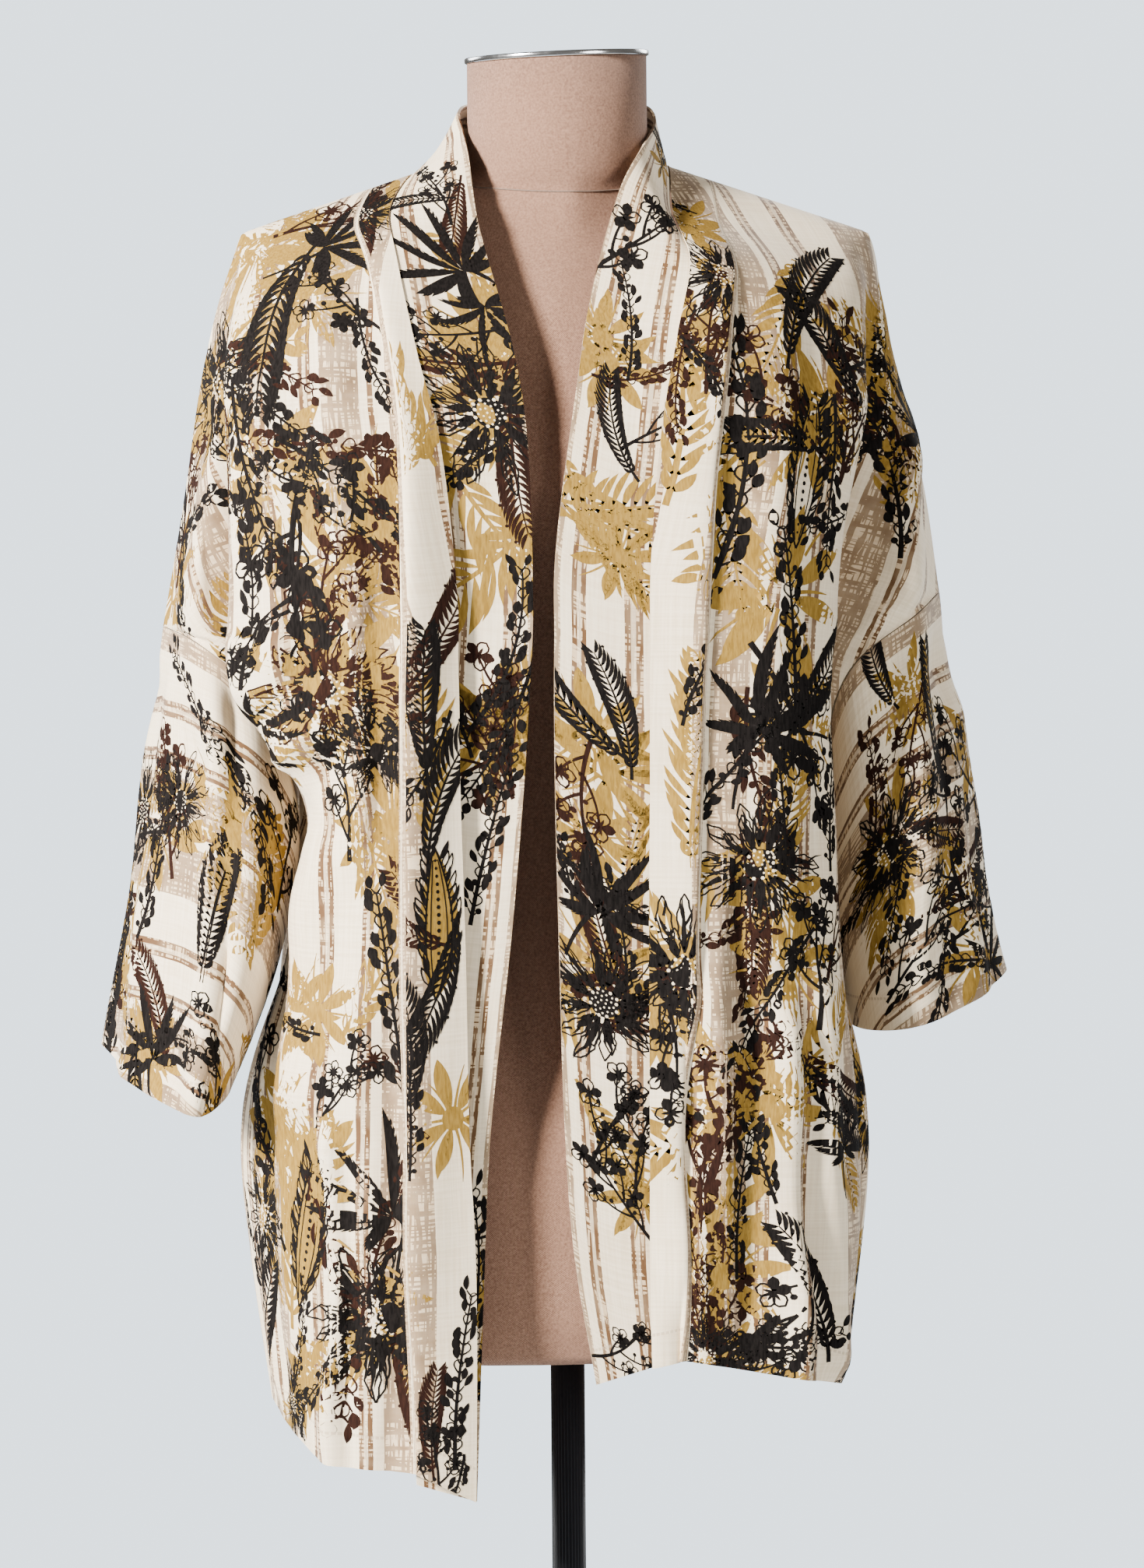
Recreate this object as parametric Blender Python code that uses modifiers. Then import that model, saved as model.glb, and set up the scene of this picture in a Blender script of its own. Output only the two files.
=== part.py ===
"""A kimono jacket with dropped sleeves, standing open on a limbless dress form with a pole and a foot.

Metres, +Z up. The form faces -Y, +X is the wearer's left, and the origin is on the floor, under the pole.
The tables below are in millimetres. Their x is measured outwards from the centre plane, on either side.
"""

import math

import bmesh
import bpy
import numpy as np

MM = 0.001

# Cloth
PANEL_WALL = 1.0 * MM
BAND_WALL = 2.0 * MM  # the neckband is folded double
SEAM_GAP = 0.4 * MM
ARMHOLE_GAP = 1.0 * MM
UNDERARM_GAP = 3.0 * MM  # between the sleeve and the body, where the armhole seam turns
STEP_RUN = 3.0  # sideways run of the riser beside a pressed fold, in the tables' millimetres
FOLD_FULL_AT = 140  # how far forward, in millimetres, a pressed fold has its whole depth
BAND_STRIPS = 4  # strips of faces across the neckband
EASE_POINTS = 4  # points of the armhole on either side of the underarm over which its gap opens

# Dress form and stand
NECK_TILT = math.radians(2.3)
CAP_RADIUS = 59 * MM
CAP_THICKNESS = 3.5 * MM
CAP_BEVEL = 0.8 * MM
CAP_POINTS = 40
NECK_TOP = 1524 * MM
FORM_BOTTOM = 700 * MM
FORM_POINTS = 32
TOUCH_GAP = 0.3 * MM
POLE_RADIUS = 11 * MM
POLE_POINTS = 32
BASE_RADIUS = 170 * MM
BASE_EDGE = 6 * MM
BASE_HEIGHT = 14 * MM
BASE_BOSS_RADIUS = 24 * MM
BASE_BOSS_HEIGHT = 34 * MM
BASE_POINTS = 40

# Levels of every panel, from the shoulder down: name, usual height, strips of faces down to the next.
LEVELS = (
    ("shoulder", 1452, 2),
    ("slope", 1424, 2),
    ("collar bone", 1392, 3),
    ("chest", 1340, 2),
    ("bust", 1290, 3),
    ("armhole", 1190, 3),
    ("seam front", 1158, 3),
    ("seam inner", 1130, 3),
    ("underarm", 1062, 3),
    ("waist", 977, 4),
    ("hip", 850, 3),
    ("thigh", 765, 3),
    ("hem", 690, 0),
)
ROW_STRIPS = [level[2] for level in LEVELS[:-1]]
LEVEL_NAMES = [level[0] for level in LEVELS]
ARMHOLE_ROW = LEVEL_NAMES.index("armhole")
UNDERARM_ROW = LEVEL_NAMES.index("underarm")
SHOULDER_ROUNDING = 0.3  # how steeply the cloth leaves the shoulder, as a share of its slope below

# The neckband from the centre back: point, free edge, sewn edge, the share of its width that shows beside
# the front panel, and how far the panel lies off it. The strips and knots are those of the neck's points,
# which come before the levels.
NECK_STRIPS = (2, 2, 2)
NECK_KNOTS = (-18, -12, -5)
LEFT_BAND = (
    ("centre back", (0, 64, 1500), (0, 77, 1446), 1.00, 0.4),
    ("nape", (38, 53, 1500), (49, 60, 1448), 1.00, 0.4),
    ("side neck", (61, 17, 1495), (67, 29, 1452), 1.00, 0.4),
    ("shoulder", (63, 3, 1484), (70, 0, 1455), 1.00, 0.4),
    ("slope", (47, -42, 1467), (63, -53, 1423), 1.00, 0.5),
    ("collar bone", (29, -65, 1440), (68, -91, 1396), 1.00, 0.5),
    ("chest", (3.5, -101, 1372), (57, -117, 1346), 0.97, 0.5),
    ("bust", (-11, -128, 1312), (47, -133, 1290), 0.92, 0.8),
    ("armhole", (-26, -133, 1205), (39, -132, 1195), 0.92, 2.0),
    ("seam front", (-26.5, -133, 1162), (38.5, -132, 1158), 0.92, 3.0),
    ("seam inner", (-27, -133, 1132), (38, -132, 1129), 0.92, 3.0),
    ("underarm", (-27, -133, 1064), (37.5, -132, 1062), 0.92, 3.0),
    ("waist", (-25.5, -133, 975), (36, -132, 975), 0.92, 3.0),
    ("hip", (-22.5, -133, 850), (35, -132, 850), 0.92, 4.0),
    ("thigh", (-17, -134, 770), (35, -132, 770), 0.90, 4.0),
    ("hem", (-4.5, -136, 692), (38, -133, 703), 0.82, 4.0),
)
RIGHT_BAND = (
    ("centre back", (0, 64, 1500), (0, 77, 1446), 1.00, 0.4),
    ("nape", (38, 53, 1499), (52, 59, 1447), 1.00, 0.4),
    ("side neck", (60, 16, 1492), (80, 30, 1448), 1.00, 0.4),
    ("shoulder", (61, -4, 1478), (94, 0, 1449), 1.00, 0.4),
    ("slope", (62, -32, 1461), (114, -44, 1426), 1.00, 0.4),
    ("collar bone", (62.5, -68, 1419), (119, -86, 1397), 0.97, 0.4),
    ("chest", (49, -114, 1343), (112, -117, 1334), 0.95, 1.0),
    ("bust", (43, -131, 1290), (105, -132, 1285), 0.90, 3.0),
    ("armhole", (40, -133, 1184), (100, -131, 1178), 0.80, 7.0),
    ("seam front", (41, -133, 1150), (101, -131, 1147), 0.79, 8.0),
    ("seam inner", (43, -133, 1120), (103, -131, 1118), 0.75, 8.0),
    ("underarm", (47, -133, 1064), (106, -131, 1063), 0.69, 8.0),
    ("waist", (55, -133, 978), (113, -131, 978), 0.53, 8.0),
    ("hip", (69.5, -131, 850), (124, -131, 850), 0.27, 8.0),
    ("thigh", (74, -129, 760), (124, -131, 760), 0.14, 8.0),
    ("hem", (80, -130, 620), (118, -131, 632), 0.05, 6.0),
)

# A front panel's levels: name, height of its outer end, then (x, y) or (x, y, z) of each line down it.
# The lines: a pressed fold, the middle, the outer fold of the body, the hollow beside it, the sleeve's front
# and the outer end, which is the sleeve's top fold, then the armhole seam, then the side seam.
LEFT_FRONT = (
    ("shoulder", 1413, (98, 0), (138, 0), (175, 0), (190, 0), (197, 0), (203, 0)),
    ("slope", 1398, (94, -47), (137, -39), (181, -27), (194, -17), (201, -11), (207, 0)),
    ("collar bone", 1370, (96, -90), (134, -77), (187, -50), (196, -30), (204, -24), (211, 0)),
    ("chest", 1310, (86, -121), (130, -110), (183, -72), (190, -44), (211, -44), (224, 0)),
    ("bust", 1255, (77, -139), (126, -127), (172, -86), (174, -46), (214, -56), (237, 0)),
    ("armhole", 1181, (69, -142), (121, -132), (155, -97), (160, -46), (212, -66), (248, 0)),
    ("seam front", 1168, (67, -143), (119, -133), (153, -100), (157, -46), (196, -66), (220, -56)),
    ("seam inner", 1138, (65, -143), (118, -133), (152, -102), (152, -44), (164, -56), (178, -66)),
    ("underarm", 1060, (63, -143), (118, -133), (156, -102), (157, -50), (161, -24), (164, 0)),
    ("waist", 975, (60, -143), (117, -133), (158, -101), (160, -60), (163, -28), (166, 4)),
    ("hip", 850, (53, -141), (122, -131), (168, -95), (181, -52), (188, -18), (190, 16)),
    ("thigh", 770, (52, -142), (127, -130), (170, -93), (181, -52), (188, -18), (190, 16)),
    ("hem", 672, (51, -143, 705), (128, -131, 690), (152, -105, 684), (168, -58, 676), (176, -20, 673),
     (180, 14)),
)
RIGHT_FRONT = (
    ("shoulder", 1414, (118, 0), (150, 0), (180, 0), (192, 0), (199, 0), (204, 0)),
    ("slope", 1398, (134, -42), (162, -37), (192, -27), (200, -16), (205, -10), (209, 0)),
    ("collar bone", 1368, (132, -88), (168, -78), (211, -54), (213, -32), (216, -24), (219, 0)),
    ("chest", 1315, (125, -123), (166, -112), (223, -74), (219, -46), (227, -38), (231, 0)),
    ("bust", 1250, (121, -143), (165, -129), (224, -84), (212, -50), (235, -52), (241, 0)),
    ("armhole", 1166, (121, -151), (167, -133), (225, -91), (200, -48), (240, -62), (256, 0)),
    ("seam front", 1156, (122, -152), (168, -133), (227, -97), (191, -48), (222, -65), (240, -58)),
    ("seam inner", 1124, (123, -152), (168, -133), (223, -100), (176, -44), (188, -50), (202, -62)),
    ("underarm", 1060, (123, -152), (150, -138), (180, -100), (160, -50), (166, -22), (170, 0)),
    ("waist", 978, (124, -152), (152, -135), (180, -90), (172, -54), (170, -26), (171, 4)),
    ("hip", 850, (125, -150), (168, -124), (196, -80), (197, -46), (204, -16), (205, 18)),
    ("thigh", 760, (124, -149), (170, -122), (194, -78), (196, -46), (201, -16), (202, 18)),
    ("hem", 668, (120, -146, 640), (170, -122, 645), (186, -78, 656), (188, -44, 658), (190, -14, 663),
     (190, 16)),
)
# Strips of faces after the band's edge, the pressed fold, its riser, the middle, the outer fold, the hollow
# and the sleeve's front.
FRONT_STRIPS = (3, 1, 3, 3, 2, 2, 3)
FOLD_DEPTH = {1: 4.0, -1: 8.0}  # how far the riser beside the pressed fold drops back, on each side

# The back's levels on either side of the centre: height at the centre, then (x, y) of each line.
# The lines: centre, nape, neck side, middle, outer fold, hollow beside it, sleeve's back.
BACK = (
    ("shoulder", 1447, (0, 80), (52, 62), (80, 0), (125, 0), (178, 0), (191, 0), (198, 0)),
    ("slope", 1430, (0, 94), (50, 86), (92, 56), (134, 44), (184, 30), (196, 18), (203, 11)),
    ("collar bone", 1392, (0, 108), (48, 108), (90, 98), (136, 84), (193, 54), (204, 34), (211, 26)),
    ("chest", 1335, (0, 117), (48, 121), (88, 114), (136, 104), (196, 74), (202, 48), (217, 42)),
    ("bust", 1285, (0, 124), (48, 130), (88, 123), (136, 114), (188, 84), (192, 50), (224, 56)),
    ("armhole", 1188, (0, 127), (48, 134), (88, 126), (136, 119), (180, 92), (176, 48), (226, 64)),
    ("seam front", 1155, (0, 128), (48, 136), (88, 127), (136, 121), (178, 94), (170, 48), (206, 66)),
    ("seam inner", 1126, (0, 129), (48, 137), (88, 127), (136, 122), (176, 95), (162, 46), (172, 58)),
    ("underarm", 1063, (0, 130), (48, 138), (88, 128), (136, 122), (170, 92), (160, 54), (163, 26)),
    ("waist", 977, (0, 131), (48, 140), (88, 129), (136, 123), (168, 92), (164, 56), (167, 30)),
    ("hip", 850, (0, 132), (48, 143), (88, 130), (136, 126), (180, 92), (190, 60), (195, 38)),
    ("thigh", 765, (0, 133), (48, 145), (88, 131), (136, 128), (182, 92), (191, 60), (195, 38)),
    ("hem", 690, (0, 133), (47, 146), (87, 131), (134, 128), (174, 92), (181, 60), (184, 38)),
)
BACK_STRIPS = (3, 3, 2, 3, 2, 2, 3)

# The sleeves' rings below the armhole: centre (x, y, z), half width, half depth, turn in degrees,
# rise towards the outer side and rise towards the back, and how sharply the front and back edges are folded.
LEFT_SLEEVE = (
    ("upper", (218, 0, 1040), 47, 74, -5, 0.30, 0.05, 0.12),
    ("middle", (224, 2, 985), 49, 78, -10, 0.34, 0.08, 0.16),
    ("cuff", (239, 4, 920), 50, 80, -16, 0.30, 0.10, 0.20),
)
RIGHT_SLEEVE = (
    ("upper", (224, -14, 1036), 49, 82, -3, 0.14, 0.10, 0.20),
    ("middle", (236, -10, 965), 47, 92, -4, 0.12, 0.18, 0.30),
    ("cuff", (257, -4, 888), 37, 98, -4, 0.10, 0.24, 0.45),
)
SLEEVE_STRIPS = (4, 3, 3)

# The dress form's sections: height, half width, depth in front, depth behind, and the power of its
# superellipse: 2 is an ellipse, less is pinched towards a diamond, as where the shoulders meet the neck.
FORM_SECTIONS = (
    (700, 163, 104, 112, 2.1),
    (706, 168, 108, 116, 2.1),
    (770, 173, 112, 122, 2.1),
    (850, 170, 110, 122, 2.1),
    (920, 153, 98, 106, 2.1),
    (990, 132, 86, 82, 2.1),
    (1050, 121, 82, 74, 2.1),
    (1120, 126, 92, 78, 2.1),
    (1200, 142, 112, 88, 2.1),
    (1255, 150, 121, 94, 2.0),
    (1310, 154, 108, 98, 1.9),
    (1350, 162, 90, 92, 1.8),
    (1380, 172, 76, 80, 1.6),
    (1402, 180, 64, 68, 1.4),
    (1414, 181, 59, 63, 1.2),
    (1424, 167.5, 58, 61, 1.1),
    (1431, 144, 58, 60, 1.1),
    (1438, 108, 56, 59, 1.15),
    (1444, 77, 56, 58, 1.4),
    (1449, 64, 57, 57.5, 1.7),
    (1454, 58, 57.5, 57.5, 1.95),
    (1462, 57.5, 57.5, 57.5, 2.0),
    (1524, 57.5, 57.5, 57.5, 2.0),
)
FORM_STRIPS = (1, 2, 2, 2, 2, 2, 2, 2, 2, 2, 2, 1, 1, 1, 1, 1, 1, 1, 1, 1, 1, 1)

COLOURS = {
    "cloth": ((0.86, 0.81, 0.71, 1), 0.85, 0.0),
    "linen": ((0.50, 0.36, 0.29, 1), 0.90, 0.0),
    "chrome": ((0.72, 0.73, 0.75, 1), 0.15, 1.0),
    "black metal": ((0.02, 0.022, 0.025, 1), 0.35, 0.6),
}


def clear_scene():
    for old in list(bpy.data.objects):
        bpy.data.objects.remove(old, do_unlink=True)


def new_material(name):
    colour, roughness, metallic = COLOURS[name]
    material = bpy.data.materials.new(name)
    material.use_nodes = True
    shader = material.node_tree.nodes["Principled BSDF"]
    shader.inputs["Base Color"].default_value = colour
    shader.inputs["Roughness"].default_value = roughness
    shader.inputs["Metallic"].default_value = metallic
    return material


def add_object(name, mesh, material, collection):
    made = bpy.data.objects.new(name, mesh)
    made.data.materials.append(new_material(material))
    collection.objects.link(made)
    return made


def spline(points, strips, knots=None, start=1.0):
    """A smooth curve through points (any trailing shape), with so many strips after each.

    start scales the rise of its first tangent, so that 0 sets off level.
    """
    points = np.asarray(points, float)
    if knots is None:
        steps = np.linalg.norm(np.diff(points, axis=0), axis=-1)
        knots = np.concatenate([[0], np.cumsum(np.sqrt(steps) + 1e-9)])
    slopes = [(points[i + 1] - points[i]) / (knots[i + 1] - knots[i]) for i in range(len(points) - 1)]
    first = slopes[0].copy()
    first[..., -1] *= start
    tangents = [first]
    for i in range(1, len(points) - 1):
        before, after = knots[i] - knots[i - 1], knots[i + 1] - knots[i]
        tangents.append((after * slopes[i - 1] + before * slopes[i]) / (before + after))
    tangents.append(slopes[-1])
    curve = []
    for i, count in enumerate(strips):
        span = knots[i + 1] - knots[i]
        for t in np.arange(count) / count:
            curve.append(
                (1 + 2 * t) * (1 - t) ** 2 * points[i]
                + t * (1 - t) ** 2 * span * tangents[i]
                + t * t * (3 - 2 * t) * points[i + 1]
                + t * t * (t - 1) * span * tangents[i + 1]
            )
    curve.append(points[-1])
    return np.array(curve)


def level_knots():
    """A knot for each level, shared by all the panels, so that their rows meet at the seams."""
    heights = np.array([level[1] for level in LEVELS], float)
    return np.concatenate([[0], np.cumsum(np.sqrt(-np.diff(heights)))])


def band_knots():
    """The neckband's knots: its neck points come before the levels."""
    return np.concatenate([NECK_KNOTS, level_knots()])


def shifted_inwards(grid, sides, distance):
    """A grid with the named edges drawn back along the cloth, which leaves a seam's gap."""
    grid = grid.copy()
    edges = {"top": (0, 1), "bottom": (-1, -2)}
    for side in sides:
        if side in edges:
            edge, inner = edges[side]
            step = grid[inner] - grid[edge]
            grid[edge] += distance * step / np.linalg.norm(step, axis=-1, keepdims=True)
        else:
            edge, inner = {"first": (0, 1), "last": (-1, -2)}[side]
            step = grid[:, inner] - grid[:, edge]
            grid[:, edge] += distance * step / np.linalg.norm(step, axis=-1, keepdims=True)
    return grid


def cloth_mesh(name, grid, closed=False):
    """The open surface of a grid of points, its faces turned outwards, closed round a sleeve."""
    rows, columns = grid.shape[:2]
    last = columns if closed else columns - 1
    faces = []
    for top in range(0, (rows - 1) * columns, columns):
        low = top + columns
        for c in range(last):
            following = (c + 1) % columns
            faces.append((top + c, low + c, low + following, top + following))
    mesh = bpy.data.meshes.new(name)
    mesh.from_pydata(grid.reshape(-1, 3).tolist(), [], faces)
    mesh.shade_smooth()
    return mesh


def add_cloth(name, grid, wall, collection, turned=False, closed=False):
    """A panel: a grid whose wall grows outwards from it."""
    mesh = cloth_mesh(name, grid[:, ::-1] if turned else grid, closed)
    panel = add_object(name, mesh, "cloth", collection)
    solidify = panel.modifiers.new("Wall", "SOLIDIFY")
    solidify.thickness = wall
    solidify.offset = 1
    return panel


def placed(points, side):
    """Table points in metres, on the +X side for 1 and on the -X side for -1."""
    return np.asarray(points, float) * (side * MM, MM, MM)


def band_table(side):
    return LEFT_BAND if side > 0 else RIGHT_BAND


def band_grid(side):
    """The neckband from the centre back to the hem, each row from its free edge to its sewn edge."""
    net = np.stack([placed([row[1] for row in band_table(side)], side),
                    placed([row[2] for row in band_table(side)], side)], axis=1)
    grid = spline(net, NECK_STRIPS + tuple(ROW_STRIPS), band_knots())
    across = np.linspace(0, 1, BAND_STRIPS + 1)[None, :, None]
    return grid[:, :1] * (1 - across) + grid[:, 1:] * across


def band_outwards(grid, side):
    """The way off the neckband's outer face, at each of its rows."""
    down = np.gradient(grid[:, 2], axis=0)
    away = np.cross(down, grid[:, -1] - grid[:, 0]) * side
    return away / np.linalg.norm(away, axis=1, keepdims=True)


def lapped_edge(side):
    """The line where a front panel's edge lies on the neckband, made from the band's points, moved out."""
    grid = band_grid(side)
    lap = spline([row[3:] for row in band_table(side)], NECK_STRIPS + tuple(ROW_STRIPS), band_knots())
    share, lift = lap[:, :1], lap[:, 1:] * MM
    edge = grid[:, 0] + share * (grid[:, -1] - grid[:, 0])
    edge = edge + band_outwards(grid, side) * (BAND_WALL + lift)
    return edge[sum(NECK_STRIPS):]


def on_ridge(point, neck, outer):
    """A table point moved onto the straight shoulder ridge from the neck point to the outer end."""
    along = (point[0] - neck[0]) / (outer[0] - neck[0])
    return neck + along * (outer - neck)


def front_net(side):
    """The front panel's lines, one column each, with the riser beside its pressed fold worked out."""
    starts = lapped_edge(side)[[row_of(level) for level in range(len(LEVELS))]]
    net = []
    for start, row in zip(starts, LEFT_FRONT if side > 0 else RIGHT_FRONT):
        name, height, *lines = row
        fold = lines[0]
        depth = FOLD_DEPTH[side] * min(1.0, abs(fold[1]) / FOLD_FULL_AT)
        lines.insert(1, (fold[0] + STEP_RUN, fold[1] + depth, *fold[2:]))
        edge = start * (side / MM, 1 / MM, 1 / MM)
        outer = np.array((lines[-1][0], lines[-1][1], height), float)
        points = [edge]
        for line in lines:
            if name == "shoulder":
                point = on_ridge(line, edge, outer)
            elif len(line) > 2:
                point = line
            else:
                along = (line[0] - edge[0]) / (outer[0] - edge[0])
                point = (line[0], line[1], edge[2] + (height - edge[2]) * along)
            points.append(point)
        net.append(placed(points, side))
    return np.array(net)


def woven(net, strips, corner=0):
    """The grid through a net of points: smooth along each row, then down each column.

    The first row may turn a corner at one of its points, as the back's neck edge does at the shoulder.
    """
    rows = [spline(row, strips) for row in net]
    if corner:
        neck = spline(net[0][:corner + 1], strips[:corner])
        rows[0] = np.concatenate([neck[:-1], spline(net[0][corner:], strips[corner:])])
    return spline(rows, ROW_STRIPS, level_knots(), SHOULDER_ROUNDING)


def outer_edge(points):
    """A panel's outer end: the sleeve's top fold, the armhole seam, the side seam, and corners between."""
    line = []
    for first, last in ((0, ARMHOLE_ROW), (ARMHOLE_ROW, UNDERARM_ROW), (UNDERARM_ROW, len(LEVELS) - 1)):
        knots = level_knots()[first:last + 1]
        part = spline(points[first:last + 1], ROW_STRIPS[first:last], knots)
        line.append(part[:-1] if last < len(LEVELS) - 1 else part)
    return np.concatenate(line)


def eased(grid, wanted, reach):
    """A grid whose first column is moved to the wanted points, the move fading out over so many columns."""
    fade = np.clip(1 - np.arange(grid.shape[1]) / reach, 0, 1)[None, :, None]
    return grid + (wanted - grid[:, 0])[:, None] * fade


def front_grid(side):
    net = front_net(side)
    grid = eased(woven(net, FRONT_STRIPS), lapped_edge(side), FRONT_STRIPS[0])
    return eased(grid[:, ::-1], outer_edge(net[:, -1]), FRONT_STRIPS[-1])[:, ::-1]


def neck_edge(side):
    """The back's neck edge: the neckband's sewn edge down to the shoulder, moved out."""
    band = band_grid(side)
    edge = band[:, -1] + band_outwards(band, side) * (BAND_WALL + SEAM_GAP)
    return edge[:sum(NECK_STRIPS) + 1]


def back_half(side):
    """The back panel's lines on one side, from the centre outwards."""
    neck = neck_edge(side) * (side / MM, 1 / MM, 1 / MM)
    neck_at = {0: neck[0] * (0, 1, 1), 1: neck[sum(NECK_STRIPS[:2])], 2: neck[-1]}
    net = []
    for row, outer in zip(BACK, front_net(side)[:, -1]):
        name, middle_height, *lines = row
        outer = outer * (side / MM, 1 / MM, 1 / MM)
        points = []
        for place, line in enumerate(lines):
            if name == "shoulder" and place < 3:
                point = neck_at[place]
            elif name == "shoulder":
                point = on_ridge(line, neck[-1], outer)
            else:
                point = (line[0], line[1], middle_height + (outer[2] - middle_height) * line[0] / outer[0])
            points.append(point)
        points.append((outer[0], abs(outer[1]), outer[2]))
        net.append(placed(points, side))
    return np.array(net)


def back_grid(side):
    """Half of the back, its neck edge made from the neckband's points."""
    net = back_half(side)
    grid = woven(net, BACK_STRIPS, corner=2)
    wanted = grid[0].copy()
    wanted[:sum(NECK_STRIPS) + 1] = neck_edge(side)
    wanted[0, 0] = 0
    grid = np.moveaxis(eased(np.moveaxis(grid, 0, 1), wanted, row_of(2)), 0, 1)
    return eased(grid[:, ::-1], outer_edge(net[:, -1]), BACK_STRIPS[-1])[:, ::-1]


def row_of(level):
    """The grid row at which a level lies."""
    return sum(ROW_STRIPS[:level])


def armhole_ring(side):
    """The seam round the sleeve: down the front from the top fold to the underarm, and up the back."""
    seam = slice(row_of(ARMHOLE_ROW), row_of(UNDERARM_ROW) + 1)
    front = front_grid(side)[seam, -1]
    back = back_grid(side)[seam, -1]
    ring = np.concatenate([front, back[::-1][1:-1]])
    underarm = len(front) - 1
    around = np.abs(np.arange(len(ring)) - underarm)
    ease = np.clip(1 - around / EASE_POINTS, 0, 1)[:, None]
    return ring + ease * np.array((side * UNDERARM_GAP, 0, 0))


def sleeve_ring(section, count, side):
    """A ring from its table row: 0 is the outer side, a quarter is the front, a half is the underarm."""
    name, centre, half_width, half_depth, turn, rise_out, rise_back, crease = section
    angle = 2 * np.pi * np.arange(count) / count
    across = half_width * np.cos(angle) * (1 - crease * np.abs(np.sin(angle)) ** 3)
    along = -half_depth * np.sin(angle)
    turn = math.radians(turn)
    x = across * math.cos(turn) - along * math.sin(turn)
    y = across * math.sin(turn) + along * math.cos(turn)
    z = rise_out * x + rise_back * y
    return placed(np.stack([x, y, z], axis=1) + np.array(centre), side)


def sleeve_grid(side):
    first = armhole_ring(side)
    table = LEFT_SLEEVE if side > 0 else RIGHT_SLEEVE
    net = [first] + [sleeve_ring(row, len(first), side) for row in table]
    heights = np.array(net)[:, :, 2].mean(axis=1)
    knots = np.concatenate([[0], np.cumsum(np.sqrt(-np.diff(heights)))])
    return spline(net, SLEEVE_STRIPS, knots)


def build_jacket(collection):
    half_gap = SEAM_GAP / 2
    for side, word in ((1, "left"), (-1, "right")):
        turned = side < 0
        band = shifted_inwards(band_grid(side), ("top",), half_gap)
        add_cloth(word + "_neckband", band, BAND_WALL, collection, turned=turned)
        front = shifted_inwards(front_grid(side), ("top", "last"), half_gap)
        add_cloth(word + "_front", front, PANEL_WALL, collection, turned=turned)
        sleeve = shifted_inwards(sleeve_grid(side), ("top",), ARMHOLE_GAP)
        add_cloth(word + "_sleeve", sleeve, PANEL_WALL, collection, turned=not turned, closed=True)
    left, right = back_grid(1), back_grid(-1)
    back = np.concatenate([right[:, ::-1], left[:, 1:]], axis=1)
    back = shifted_inwards(back, ("top", "first", "last"), half_gap)
    add_cloth("back", back, PANEL_WALL, collection, turned=True)


def form_ring(section):
    height, half_width, front, behind, power = section
    angle = 2 * np.pi * np.arange(FORM_POINTS) / FORM_POINTS
    cos, sin = np.cos(angle), np.sin(angle)
    x = half_width * np.sign(cos) * np.abs(cos) ** (2 / power)
    depth = np.where(sin < 0, front, behind)
    y = depth * np.sign(sin) * np.abs(sin) ** (2 / power)
    return np.stack([x, y, np.full_like(x, height)], axis=1) * MM


def build_form(collection):
    """The linen-covered torso: a loft of its sections, closed flat below and under the neck's cap."""
    heights = np.array([section[0] for section in FORM_SECTIONS], float)
    knots = np.concatenate([[0], np.cumsum(np.sqrt(np.diff(heights)))])
    rings = spline([form_ring(section) for section in FORM_SECTIONS], FORM_STRIPS, knots)
    rings[-1, :, 2] += math.tan(NECK_TILT) * rings[-1, :, 0]
    shape = bmesh.new()
    loops = [[shape.verts.new(point) for point in ring] for ring in rings]
    for low, high in zip(loops, loops[1:]):
        for i in range(FORM_POINTS):
            j = (i + 1) % FORM_POINTS
            shape.faces.new((low[i], low[j], high[j], high[i]))
    shape.faces.new(loops[0][::-1])
    shape.faces.new(loops[-1])
    mesh = bpy.data.meshes.new("dress_form")
    shape.to_mesh(mesh)
    shape.free()
    mesh.shade_smooth()
    add_object("dress_form", mesh, "linen", collection)


def cylinder_mesh(name, radius, depth, points):
    shape = bmesh.new()
    bmesh.ops.create_cone(
        shape, cap_ends=True, segments=points, radius1=radius, radius2=radius, depth=depth
    )
    mesh = bpy.data.meshes.new(name)
    shape.to_mesh(mesh)
    shape.free()
    return mesh


def build_cap(collection):
    """The metal plate on the neck, tilted with it."""
    mesh = cylinder_mesh("neck_cap", CAP_RADIUS, CAP_THICKNESS, CAP_POINTS)
    cap = add_object("neck_cap", mesh, "chrome", collection)
    cap.location = (0, 0, NECK_TOP + (TOUCH_GAP + CAP_THICKNESS / 2) / math.cos(NECK_TILT))
    cap.rotation_euler = (0, -NECK_TILT, 0)
    bevel = cap.modifiers.new("Rounded rim", "BEVEL")
    bevel.width = CAP_BEVEL
    bevel.segments = 2


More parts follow.
